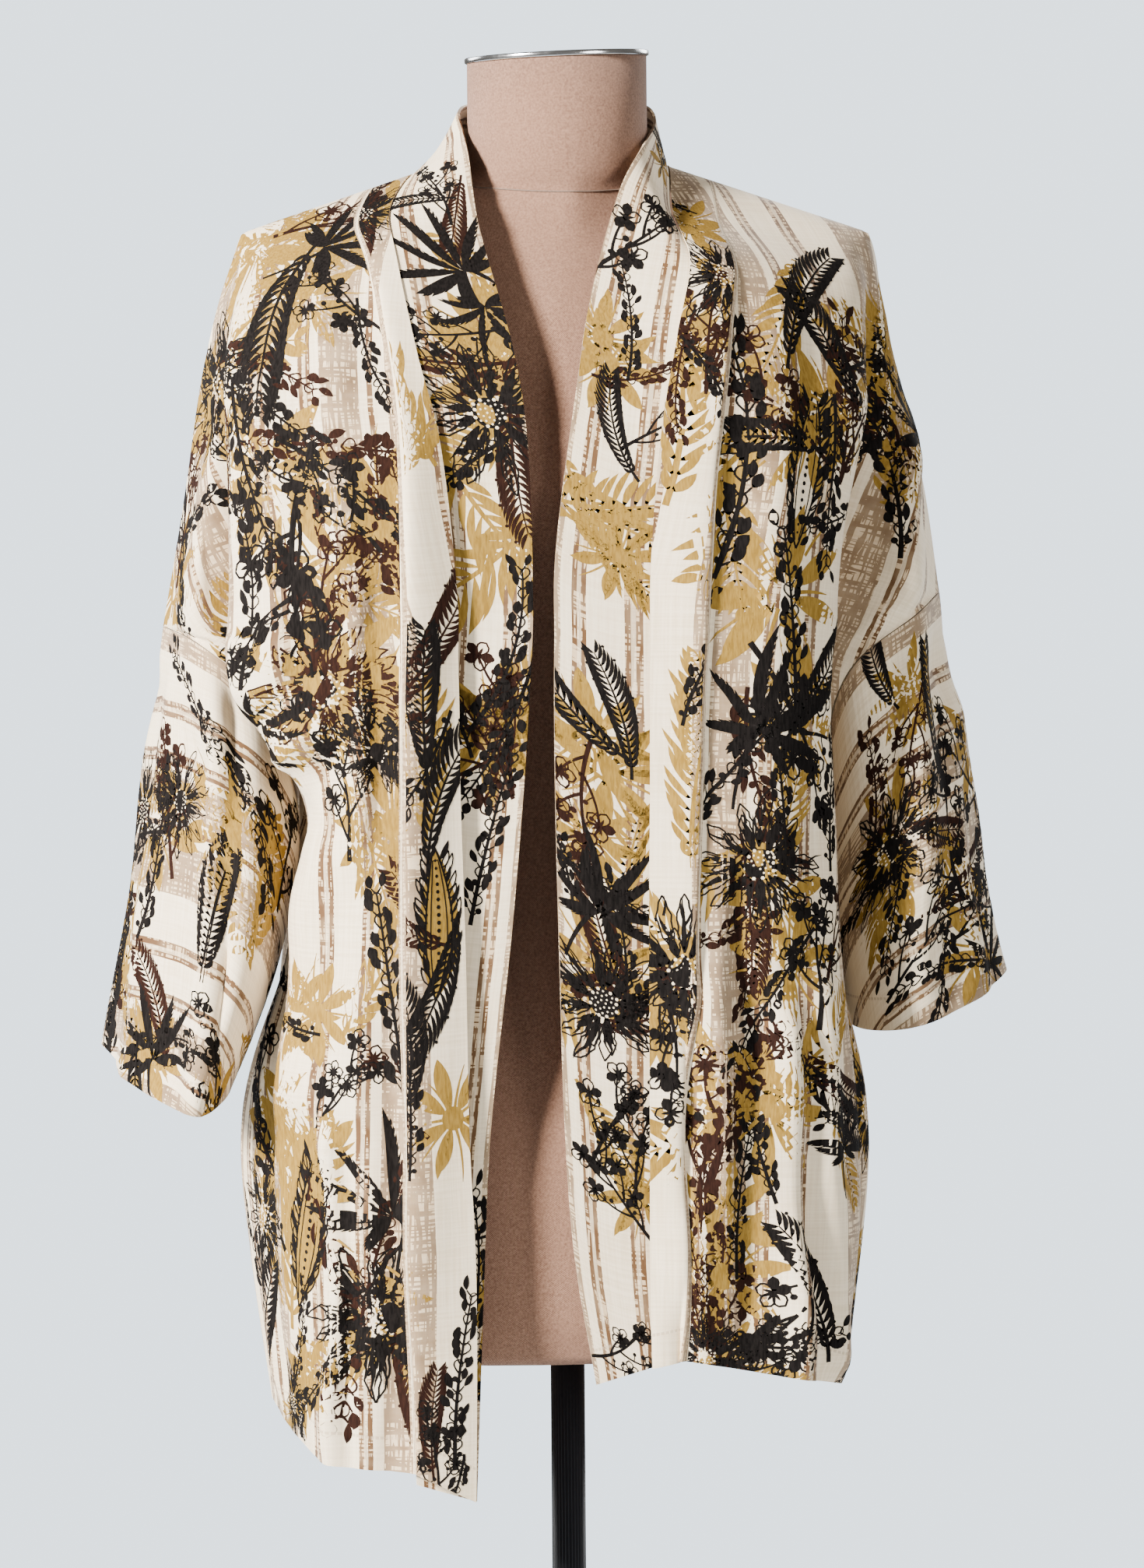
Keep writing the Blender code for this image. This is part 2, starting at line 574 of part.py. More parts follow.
def build_stand(collection):
    """A plain pole, and the weighted foot that it stands in."""
    bottom = BASE_BOSS_HEIGHT + TOUCH_GAP
    top = FORM_BOTTOM - TOUCH_GAP
    mesh = cylinder_mesh("pole", POLE_RADIUS, top - bottom, POLE_POINTS)
    pole = add_object("pole", mesh, "black metal", collection)
    pole.location = (0, 0, (top + bottom) / 2)

    outline = [(0, BASE_BOSS_HEIGHT), (BASE_BOSS_RADIUS - BASE_EDGE / 2, BASE_BOSS_HEIGHT)]
    outline.append((BASE_BOSS_RADIUS, BASE_BOSS_HEIGHT - BASE_EDGE / 2))
    outline.append((BASE_BOSS_RADIUS, BASE_HEIGHT + BASE_EDGE))
    outline += [(BASE_BOSS_RADIUS + BASE_EDGE, BASE_HEIGHT)]
    for i in range(4):
        angle = math.radians(90 - 30 * i)
        x = BASE_RADIUS - BASE_EDGE + BASE_EDGE * math.cos(angle)
        outline.append((x, BASE_HEIGHT - BASE_EDGE + BASE_EDGE * math.sin(angle)))
    outline += [(BASE_RADIUS, 0), (0, 0)]
    mesh = bpy.data.meshes.new("foot")
    edges = [(i, i + 1) for i in range(len(outline) - 1)]
    mesh.from_pydata([(x, 0, z) for x, z in outline], edges, [])
    foot = add_object("foot", mesh, "black metal", collection)
    turn = foot.modifiers.new("Turned", "SCREW")
    turn.steps = turn.render_steps = BASE_POINTS
    turn.use_merge_vertices = True
    turn.merge_threshold = 0.0001
    turn.use_smooth_shade = True


def main():
    clear_scene()
    collection = bpy.data.collections.new("kimono jacket on a dress form")
    bpy.context.scene.collection.children.link(collection)
    build_jacket(collection)
    build_form(collection)
    build_cap(collection)
    build_stand(collection)


main()
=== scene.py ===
import math

import bmesh
import bpy
import numpy as np
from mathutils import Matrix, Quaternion, Vector
from mathutils.bvhtree import BVHTree


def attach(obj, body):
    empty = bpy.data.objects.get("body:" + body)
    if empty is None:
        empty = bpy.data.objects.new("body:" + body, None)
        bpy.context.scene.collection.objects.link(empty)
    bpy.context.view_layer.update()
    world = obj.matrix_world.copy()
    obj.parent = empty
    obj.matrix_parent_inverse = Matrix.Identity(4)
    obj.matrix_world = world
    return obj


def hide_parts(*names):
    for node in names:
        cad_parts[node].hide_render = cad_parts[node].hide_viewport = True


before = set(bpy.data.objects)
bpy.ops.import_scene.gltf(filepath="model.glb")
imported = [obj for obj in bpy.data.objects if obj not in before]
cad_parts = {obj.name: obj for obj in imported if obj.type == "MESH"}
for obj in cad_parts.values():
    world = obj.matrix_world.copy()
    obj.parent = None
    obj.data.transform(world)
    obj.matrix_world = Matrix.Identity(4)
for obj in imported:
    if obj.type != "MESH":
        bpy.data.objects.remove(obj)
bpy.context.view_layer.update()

# Looks of a kimono jacket on a dress form. Metres, +Z up, the form faces -Y and +X is the wearer's left.
# The jacket's tables repeat those of the solids, in millimetres, with x measured outwards on either side.

MM = 0.001
TINY = 1e-9
FINE = 5  # strips of the visible cloth for each strip of the solids
CLOTH = 0.8 * MM
BAND = 1.8 * MM
BAND_WALL = 2.0 * MM  # the neckband's solid
SEAM_GAP = 0.4 * MM
ARMHOLE_GAP = 0.35 * MM
UNDERARM_GAP = 3.0 * MM
UNDER_GAP = 0.4 * MM  # least room between a panel and what lies under it
DEEPEST_SINK = 30 * MM  # how far off a panel's way out is looked for
BAND_STRIPS = 4 * FINE
EASE_POINTS = 4 * FINE
STEP_RUN = 3.0  # how far the riser beside a pressed fold runs sideways, in millimetres
FOLD_FULL_AT = 140  # how far forward a fold has its full depth, in millimetres
HIDDEN_PLEAT = 34 * MM  # cloth folded away behind the pressed fold of each front
SPREAD_ROUNDS = 1600  # rounds of laying a panel flat
SPREAD_PUSH = 1.6  # share of the mean pull that each round follows
HELD = 6  # strips from a seam over which a panel comes free to crease
BAND_HELD = 4
CREASE_END = 18  # millimetres over which a crease dies out past its ends
RIDGE_SHARPNESS = 2.0  # powers in a crease's cross section
TROUGH_SHARPNESS = 1.25
CLOTH_SHARP_FROM = 55  # degrees between faces that stay a sharp edge
FORM_SHARP_FROM = 32
SAME_POINT = 0.01 * MM

# The inks of the print: name, colour and deeper colour, and how far each lies off the cloth.
GOLD, BROWN, INK, LIGHT = range(4)
INKS = (
    ("gold ink", (0.270, 0.165, 0.034, 1), (0.200, 0.115, 0.020, 1)),
    ("brown ink", (0.0115, 0.0045, 0.003, 1), (0.020, 0.0078, 0.005, 1)),
    ("black ink", (0.0035, 0.0028, 0.0026, 1), (0.008, 0.0065, 0.006, 1)),
    ("bare ground", (0.78, 0.66, 0.48, 1), (0.68, 0.56, 0.38, 1)),
)
INK_HEIGHT = (0.06 * MM, 0.11 * MM, 0.16 * MM, 0.21 * MM)
FIRST_SEED = 7
UP = np.pi / 2
LEAST_FACING = 0.1  # a motif's middle is looked for where the cloth faces its view by this much
TURNED_AWAY = 400
FINGERS = ((-24, 30), (6, 44), (34, 56), (62, 62), (92, 58), (122, 60), (152, 52), (186, 40), (214, 26))

# The stripes woven along the cloth: each starts at this share of the repeat, and 0 is plain cloth, 1 a solid
# ladder line, less than 1 a hatched band.
STRIPE_REPEAT = 0.150
STRIPES = (
    (0.00, 0.0), (0.06, 1.0), (0.085, 0.35), (0.105, 1.0), (0.13, 0.0), (0.33, 0.72), (0.55, 0.0),
    (0.60, 1.0), (0.625, 0.0), (0.66, 0.72), (0.82, 0.0), (0.86, 1.0), (0.88, 0.35), (0.895, 1.0),
    (0.915, 0.0),
)
GROUND = (0.80, 0.675, 0.49, 1)
GROUND_DEEP = (0.66, 0.53, 0.35, 1)
GROUND_PALE = (0.81, 0.695, 0.52, 1)
HATCH = (0.10, 0.046, 0.015, 1)
STRIPE_TINT = (0.44, 0.275, 0.125, 1)
STITCH_COLOUR = (0.40, 0.30, 0.20, 1)
STITCHES_ABOVE_HEM = 21 * MM
STITCH_LENGTH = 2.8 * MM
GROOVE_HALF_WIDTH = 0.9 * MM
LINEN_THREADS = ((0.22, (0.065, 0.028, 0.017, 1)), (0.48, (0.225, 0.118, 0.075, 1)),
                 (0.80, (0.36, 0.215, 0.145, 1)))

# The form's plate and stand: node, slot, material, lighter and darker colour, roughness, metallic, shine, and
# the scale and stretch of its handling marks.
METALS = (
    ("neck_cap", "neck_plate", "neck plate", (0.62, 0.63, 0.65, 1), (0.45, 0.46, 0.48, 1),
     0.12, 1.0, 0.5, 90, (1, 1, 1)),
    ("pole", "stand_black", "satin black", (0.006, 0.007, 0.009, 1), (0.011, 0.012, 0.015, 1),
     0.34, 0.0, 0.12, 60, (1, 1, 0.1)),
    ("foot", "stand_black", "black foot", (0.006, 0.007, 0.008, 1), (0.011, 0.012, 0.013, 1),
     0.40, 0.0, 0.14, 70, (1, 1, 1)),
)

# The cord of the seam round the form's neck.
CORD_POINTS = 96
CORD_HEIGHT = 1.4455
CORD_LIFT = 0.25 * MM
CORD_RADIUS = 0.55 * MM

FLOOR_RADIUS = 2.9
# The floor glows with painted light from this far out, in metres from its middle, up to its rim.
FLOOR_GLOW_FROM = 1.1
BACKDROP = (1.98, 2.24, 2.46, 1)
ROOM_LIGHT = (0.19, 0.175, 0.155, 1)
LIT = (0, 0, 1.1)  # what the lights point at
LIGHTS = (
    ("front left", (-2.9, -1.9, 2.4), 0.7, 800, (1.0, 0.96, 0.91)),
    ("front right", (2.2, -2.9, 1.5), 1.6, 84, (1.0, 0.97, 0.93)),
    ("behind left", (-2.0, 2.4, 2.2), 1.6, 60, (1, 1, 1)),
    ("behind right", (2.2, 2.2, 2.2), 1.6, 60, (1, 1, 1)),
)

CAMERA_DISTANCE = 4.2
CAMERA_HEIGHT = 1.3146
CAMERA_AZIMUTH = math.radians(-9.5)
CAMERA_PITCH = math.radians(3.46)
CAMERA_ROLL = math.radians(0.48)
CAMERA_ASIDE = 0.006

# Levels of every panel, from the shoulder down: name, usual height, strips of faces down to the next.
LEVELS = (
    ("shoulder", 1452, 2),
    ("slope", 1424, 2),
    ("collar bone", 1392, 3),
    ("chest", 1340, 2),
    ("bust", 1290, 3),
    ("armhole", 1190, 3),
    ("seam front", 1158, 3),
    ("seam inner", 1130, 3),
    ("underarm", 1062, 3),
    ("waist", 977, 4),
    ("hip", 850, 3),
    ("thigh", 765, 3),
    ("hem", 690, 0),
)
ROW_STRIPS = [FINE * level[2] for level in LEVELS[:-1]]
LEVEL_NAMES = [level[0] for level in LEVELS]
ARMHOLE_ROW = LEVEL_NAMES.index("armhole")
UNDERARM_ROW = LEVEL_NAMES.index("underarm")
SHOULDER_ROUNDING = 0.3  # how steeply the cloth leaves the shoulder, as a share of its slope below

# The neckband from the centre back: free edge, sewn edge, the share of its width that shows beside the
# front panel, and how far the panel lies off it. Its first three points, at the centre back, the nape and
# the side of the neck, come before the levels, and the strips and knots here are theirs.
NECK_STRIPS = tuple(FINE * n for n in (2, 2, 2))
NECK_KNOTS = (-18, -12, -5)
BANDS = {1: (
    ((0, 64, 1500), (0, 77, 1446), 1.00, 0.4),
    ((38, 53, 1500), (49, 60, 1448), 1.00, 0.4),
    ((61, 17, 1495), (67, 29, 1452), 1.00, 0.4),
    ((63, 3, 1484), (70, 0, 1455), 1.00, 0.4),
    ((47, -42, 1467), (63, -53, 1423), 1.00, 0.5),
    ((29, -65, 1440), (68, -91, 1396), 1.00, 0.5),
    ((3.5, -101, 1372), (57, -117, 1346), 0.97, 0.5),
    ((-11, -128, 1312), (47, -133, 1290), 0.92, 0.8),
    ((-26, -133, 1205), (39, -132, 1195), 0.92, 2.0),
    ((-26.5, -133, 1162), (38.5, -132, 1158), 0.92, 3.0),
    ((-27, -133, 1132), (38, -132, 1129), 0.92, 3.0),
    ((-27, -133, 1064), (37.5, -132, 1062), 0.92, 3.0),
    ((-25.5, -133, 975), (36, -132, 975), 0.92, 3.0),
    ((-22.5, -133, 850), (35, -132, 850), 0.92, 4.0),
    ((-17, -134, 770), (35, -132, 770), 0.90, 4.0),
    ((-4.5, -136, 692), (38, -133, 703), 0.82, 4.0),
), -1: (
    ((0, 64, 1500), (0, 77, 1446), 1.00, 0.4),
    ((38, 53, 1499), (52, 59, 1447), 1.00, 0.4),
    ((60, 16, 1492), (80, 30, 1448), 1.00, 0.4),
    ((61, -4, 1478), (94, 0, 1449), 1.00, 0.4),
    ((62, -32, 1461), (114, -44, 1426), 1.00, 0.4),
    ((62.5, -68, 1419), (119, -86, 1397), 0.97, 0.4),
    ((49, -114, 1343), (112, -117, 1334), 0.95, 1.0),
    ((43, -131, 1290), (105, -132, 1285), 0.90, 3.0),
    ((40, -133, 1184), (100, -131, 1178), 0.80, 7.0),
    ((41, -133, 1150), (101, -131, 1147), 0.79, 8.0),
    ((43, -133, 1120), (103, -131, 1118), 0.75, 8.0),
    ((47, -133, 1064), (106, -131, 1063), 0.69, 8.0),
    ((55, -133, 978), (113, -131, 978), 0.53, 8.0),
    ((69.5, -131, 850), (124, -131, 850), 0.27, 8.0),
    ((74, -129, 760), (124, -131, 760), 0.14, 8.0),
    ((80, -130, 620), (118, -131, 632), 0.05, 6.0),
)}

# A front panel's levels: height of its outer end, then (x, y) or (x, y, z) of each line down it.
# The lines: a pressed fold, the middle, the outer fold of the body, the hollow beside it, the sleeve's front
# and the outer end, which is the sleeve's top fold, then the armhole seam, then the side seam.
FRONTS = {1: (
    (1413, (98, 0), (138, 0), (175, 0), (190, 0), (197, 0), (203, 0)),
    (1398, (94, -47), (137, -39), (181, -27), (194, -17), (201, -11), (207, 0)),
    (1370, (96, -90), (134, -77), (187, -50), (196, -30), (204, -24), (211, 0)),
    (1310, (86, -121), (130, -110), (183, -72), (190, -44), (211, -44), (224, 0)),
    (1255, (77, -139), (126, -127), (172, -86), (174, -46), (214, -56), (237, 0)),
    (1181, (69, -142), (121, -132), (155, -97), (160, -46), (212, -66), (248, 0)),
    (1168, (67, -143), (119, -133), (153, -100), (157, -46), (196, -66), (220, -56)),
    (1138, (65, -143), (118, -133), (152, -102), (152, -44), (164, -56), (178, -66)),
    (1060, (63, -143), (118, -133), (156, -102), (157, -50), (161, -24), (164, 0)),
    (975, (60, -143), (117, -133), (158, -101), (160, -60), (163, -28), (166, 4)),
    (850, (53, -141), (122, -131), (168, -95), (181, -52), (188, -18), (190, 16)),
    (770, (52, -142), (127, -130), (170, -93), (181, -52), (188, -18), (190, 16)),
    (672, (51, -143, 705), (128, -131, 690), (152, -105, 684), (168, -58, 676), (176, -20, 673),
     (180, 14)),
), -1: (
    (1414, (118, 0), (150, 0), (180, 0), (192, 0), (199, 0), (204, 0)),
    (1398, (134, -42), (162, -37), (192, -27), (200, -16), (205, -10), (209, 0)),
    (1368, (132, -88), (168, -78), (211, -54), (213, -32), (216, -24), (219, 0)),
    (1315, (125, -123), (166, -112), (223, -74), (219, -46), (227, -38), (231, 0)),
    (1250, (121, -143), (165, -129), (224, -84), (212, -50), (235, -52), (241, 0)),
    (1166, (121, -151), (167, -133), (225, -91), (200, -48), (240, -62), (256, 0)),
    (1156, (122, -152), (168, -133), (227, -97), (191, -48), (222, -65), (240, -58)),
    (1124, (123, -152), (168, -133), (223, -100), (176, -44), (188, -50), (202, -62)),
    (1060, (123, -152), (150, -138), (180, -100), (160, -50), (166, -22), (170, 0)),
    (978, (124, -152), (152, -135), (180, -90), (172, -54), (170, -26), (171, 4)),
    (850, (125, -150), (168, -124), (196, -80), (197, -46), (204, -16), (205, 18)),
    (760, (124, -149), (170, -122), (194, -78), (196, -46), (201, -16), (202, 18)),
    (668, (120, -146, 640), (170, -122, 645), (186, -78, 656), (188, -44, 658), (190, -14, 663),
     (190, 16)),
)}
# Strips of faces after the band's edge, the pressed fold, its riser, the middle, the outer fold, the hollow
# and the sleeve's front.
FRONT_STRIPS = tuple(FINE * n for n in (3, 1, 3, 3, 2, 2, 3))
FOLD_DEPTH = {1: 4.0, -1: 8.0}  # how far the riser beside the pressed fold drops back, on each side

# The back's levels on either side of the centre: height at the centre, then (x, y) of each line.
# The lines: centre, nape, neck side, middle, outer fold, hollow beside it, sleeve's back.
BACK = (
    (1447, (0, 80), (52, 62), (80, 0), (125, 0), (178, 0), (191, 0), (198, 0)),
    (1430, (0, 94), (50, 86), (92, 56), (134, 44), (184, 30), (196, 18), (203, 11)),
    (1392, (0, 108), (48, 108), (90, 98), (136, 84), (193, 54), (204, 34), (211, 26)),
    (1335, (0, 117), (48, 121), (88, 114), (136, 104), (196, 74), (202, 48), (217, 42)),
    (1285, (0, 124), (48, 130), (88, 123), (136, 114), (188, 84), (192, 50), (224, 56)),
    (1188, (0, 127), (48, 134), (88, 126), (136, 119), (180, 92), (176, 48), (226, 64)),
    (1155, (0, 128), (48, 136), (88, 127), (136, 121), (178, 94), (170, 48), (206, 66)),
    (1126, (0, 129), (48, 137), (88, 127), (136, 122), (176, 95), (162, 46), (172, 58)),
    (1063, (0, 130), (48, 138), (88, 128), (136, 122), (170, 92), (160, 54), (163, 26)),
    (977, (0, 131), (48, 140), (88, 129), (136, 123), (168, 92), (164, 56), (167, 30)),
    (850, (0, 132), (48, 143), (88, 130), (136, 126), (180, 92), (190, 60), (195, 38)),
    (765, (0, 133), (48, 145), (88, 131), (136, 128), (182, 92), (191, 60), (195, 38)),
    (690, (0, 133), (47, 146), (87, 131), (134, 128), (174, 92), (181, 60), (184, 38)),
)
BACK_STRIPS = tuple(FINE * n for n in (3, 3, 2, 3, 2, 2, 3))

# The sleeves' three rings below the armhole, the last at the cuff: centre (x, y, z), half width, half depth,
# turn in degrees, rise towards the outer side and rise towards the back, and how sharply the front and back
# edges are folded.
SLEEVES = {1: (
    ((218, 0, 1040), 47, 74, -5, 0.30, 0.05, 0.12),
    ((224, 2, 985), 49, 78, -10, 0.34, 0.08, 0.16),
    ((239, 4, 920), 50, 80, -16, 0.30, 0.10, 0.20),
), -1: (
    ((224, -14, 1036), 49, 82, -3, 0.14, 0.10, 0.20),
    ((236, -10, 965), 47, 92, -4, 0.12, 0.18, 0.30),
    ((257, -4, 888), 37, 98, -4, 0.10, 0.24, 0.45),
)}
SLEEVE_STRIPS = tuple(FINE * n for n in (4, 3, 3))

# Creases pressed or hung into the cloth, by panel and side seen (front, back, left or right): x and z where
# each starts and ends (y and z on the left and right), its half width and its height, which is below zero
# for a trough.
CREASES = (
    ("left_front", "front", (
        (54, 905, 52, 700, 7, -9.0), (64, 930, 62, 700, 12, 7.8), (79, 1010, 78, 730, 8, 8.5),
        (92, 1000, 96, 740, 12, -8.5), (120, 905, 133, 690, 9, 11.4), (136, 900, 142, 690, 11, -11.4),
        (147, 930, 155, 700, 9, 10.0), (103, 1355, 86, 1240, 14, -3.0), (120, 1345, 108, 1150, 12, 2.3),
        (150, 1355, 138, 1230, 12, -2.8), (176, 1300, 150, 1120, 14, 6.5), (210, 1330, 196, 1215, 9, -6.0),
        (224, 1290, 215, 1195, 8, 5.3), (158, 1140, 140, 1010, 9, -5.3), (170, 1350, 150, 1380, 7, 1.6),
        (158, 1331, 174, 1350, 7, -1.7),
    )),
    ("right_front", "front", (
        (168, 842, 169, 655, 5, 9.0), (158, 850, 159, 655, 8, -7.5), (172, 1022, 188, 875, 11, 9.0),
        (148, 1180, 152, 1040, 7, 6.5), (140, 1170, 141, 1010, 8, -6.0), (150, 1355, 141, 1200, 12, -2.5),
        (164, 1345, 158, 1180, 12, 2.3), (186, 1325, 178, 1200, 14, -3.0), (205, 1310, 196, 1150, 12, 6.5),
        (236, 1290, 232, 1190, 8, -4.7), (150, 930, 146, 660, 11, 6.1), (132, 900, 134, 650, 9, -5.5),
        (190, 1140, 212, 1100, 9, -7.7), (176, 1110, 204, 1070, 8, 6.5), (166, 1085, 186, 1050, 8, -7.8),
    )),
    ("left_sleeve", "front", (
        (205, 1150, 196, 925, 9, -7.7), (222, 1165, 216, 930, 11, 6.5), (238, 1160, 243, 935, 11, -7.2),
        (250, 1100, 262, 940, 9, 5.3), (190, 1060, 222, 1010, 8, 4.7),
    )),
    ("left_sleeve", "back", (
        (200, 1140, 214, 950, 11, -7.2), (222, 1150, 238, 950, 11, 7.2), (246, 1140, 262, 960, 9, -6.0),
    )),
    ("right_sleeve", "front", (
        (232, 1140, 246, 880, 8, 10.1), (222, 1120, 234, 880, 9, -8.3), (206, 1090, 214, 890, 9, 6.0),
        (254, 1110, 266, 900, 11, -6.5), (244, 1080, 226, 1010, 8, -5.3),
    )),
    ("right_sleeve", "back", (
        (204, 1120, 226, 890, 11, -7.2), (226, 1130, 248, 900, 12, 7.7), (250, 1120, 272, 910, 11, -6.0),
    )),
    ("back", "back", (
        (-150, 1345, -140, 1180, 16, -3.6), (-118, 1355, -112, 900, 18, 3.0), (-78, 1335, -76, 760, 16, -3.0),
        (-20, 1325, -22, 700, 16, 2.3), (24, 1325, 20, 700, 18, -2.8), (74, 1345, 78, 760, 16, 2.8),
        (112, 1355, 118, 880, 16, -3.0), (148, 1345, 144, 1160, 16, 3.4), (-160, 1130, -120, 1020, 11, -7.2),
        (158, 1120, 118, 1000, 11, -7.7), (-150, 1080, -100, 990, 11, 7.8), (150, 1060, 96, 980, 11, 7.8),
        (-140, 900, -146, 690, 12, 11.4), (-104, 880, -106, 690, 12, -11.4), (-52, 900, -50, 690, 14, 10.0),
        (48, 880, 50, 690, 14, -10.0), (100, 900, 104, 690, 12, 11.4), (136, 880, 142, 690, 12, -10.0),
        (-214, 1320, -206, 1200, 11, -7.2), (210, 1320, 204, 1200, 11, -7.2),
    )),
    ("left_front", "left", (
        (-62, 1010, -54, 700, 9, -5.0), (-36, 990, -30, 700, 11, 5.5), (-10, 960, -8, 700, 9, -4.0),
        (-40, 1350, -22, 1200, 11, -3.0),
    )),
    ("right_front", "right", (
        (-60, 990, -52, 690, 9, -4.5), (-34, 970, -30, 690, 11, 5.0), (-12, 940, -10, 690, 9, -4.0),
        (-36, 1350, -20, 1200, 11, -3.0),
    )),
    ("back", "left", (
        (22, 990, 18, 700, 10, 4.5), (50, 1000, 46, 700, 9, -4.5),
    )),
    ("back", "right", (
        (24, 990, 20, 700, 10, 4.5), (52, 1000, 48, 700, 9, -4.5),
    )),
    ("left_sleeve", "left", (
        (-30, 1130, -36, 920, 10, -5.0), (-6, 1140, -4, 920, 11, 5.0), (20, 1120, 26, 930, 10, -4.5),
    )),
    ("right_sleeve", "right", (
        (-34, 1120, -40, 890, 10, 5.0), (-10, 1130, -10, 890, 10, -5.0), (16, 1110, 22, 900, 11, 4.5),
    )),
    ("left_neckband", "front", (
        (20, 1400, 26, 1270, 9, -0.9), (-6, 1150, -2, 900, 10, 0.8),
    )),
    ("right_neckband", "front", (
        (60, 1380, 62, 1180, 8, -0.8), (60, 1000, 74, 780, 9, 0.8),
    )),
)

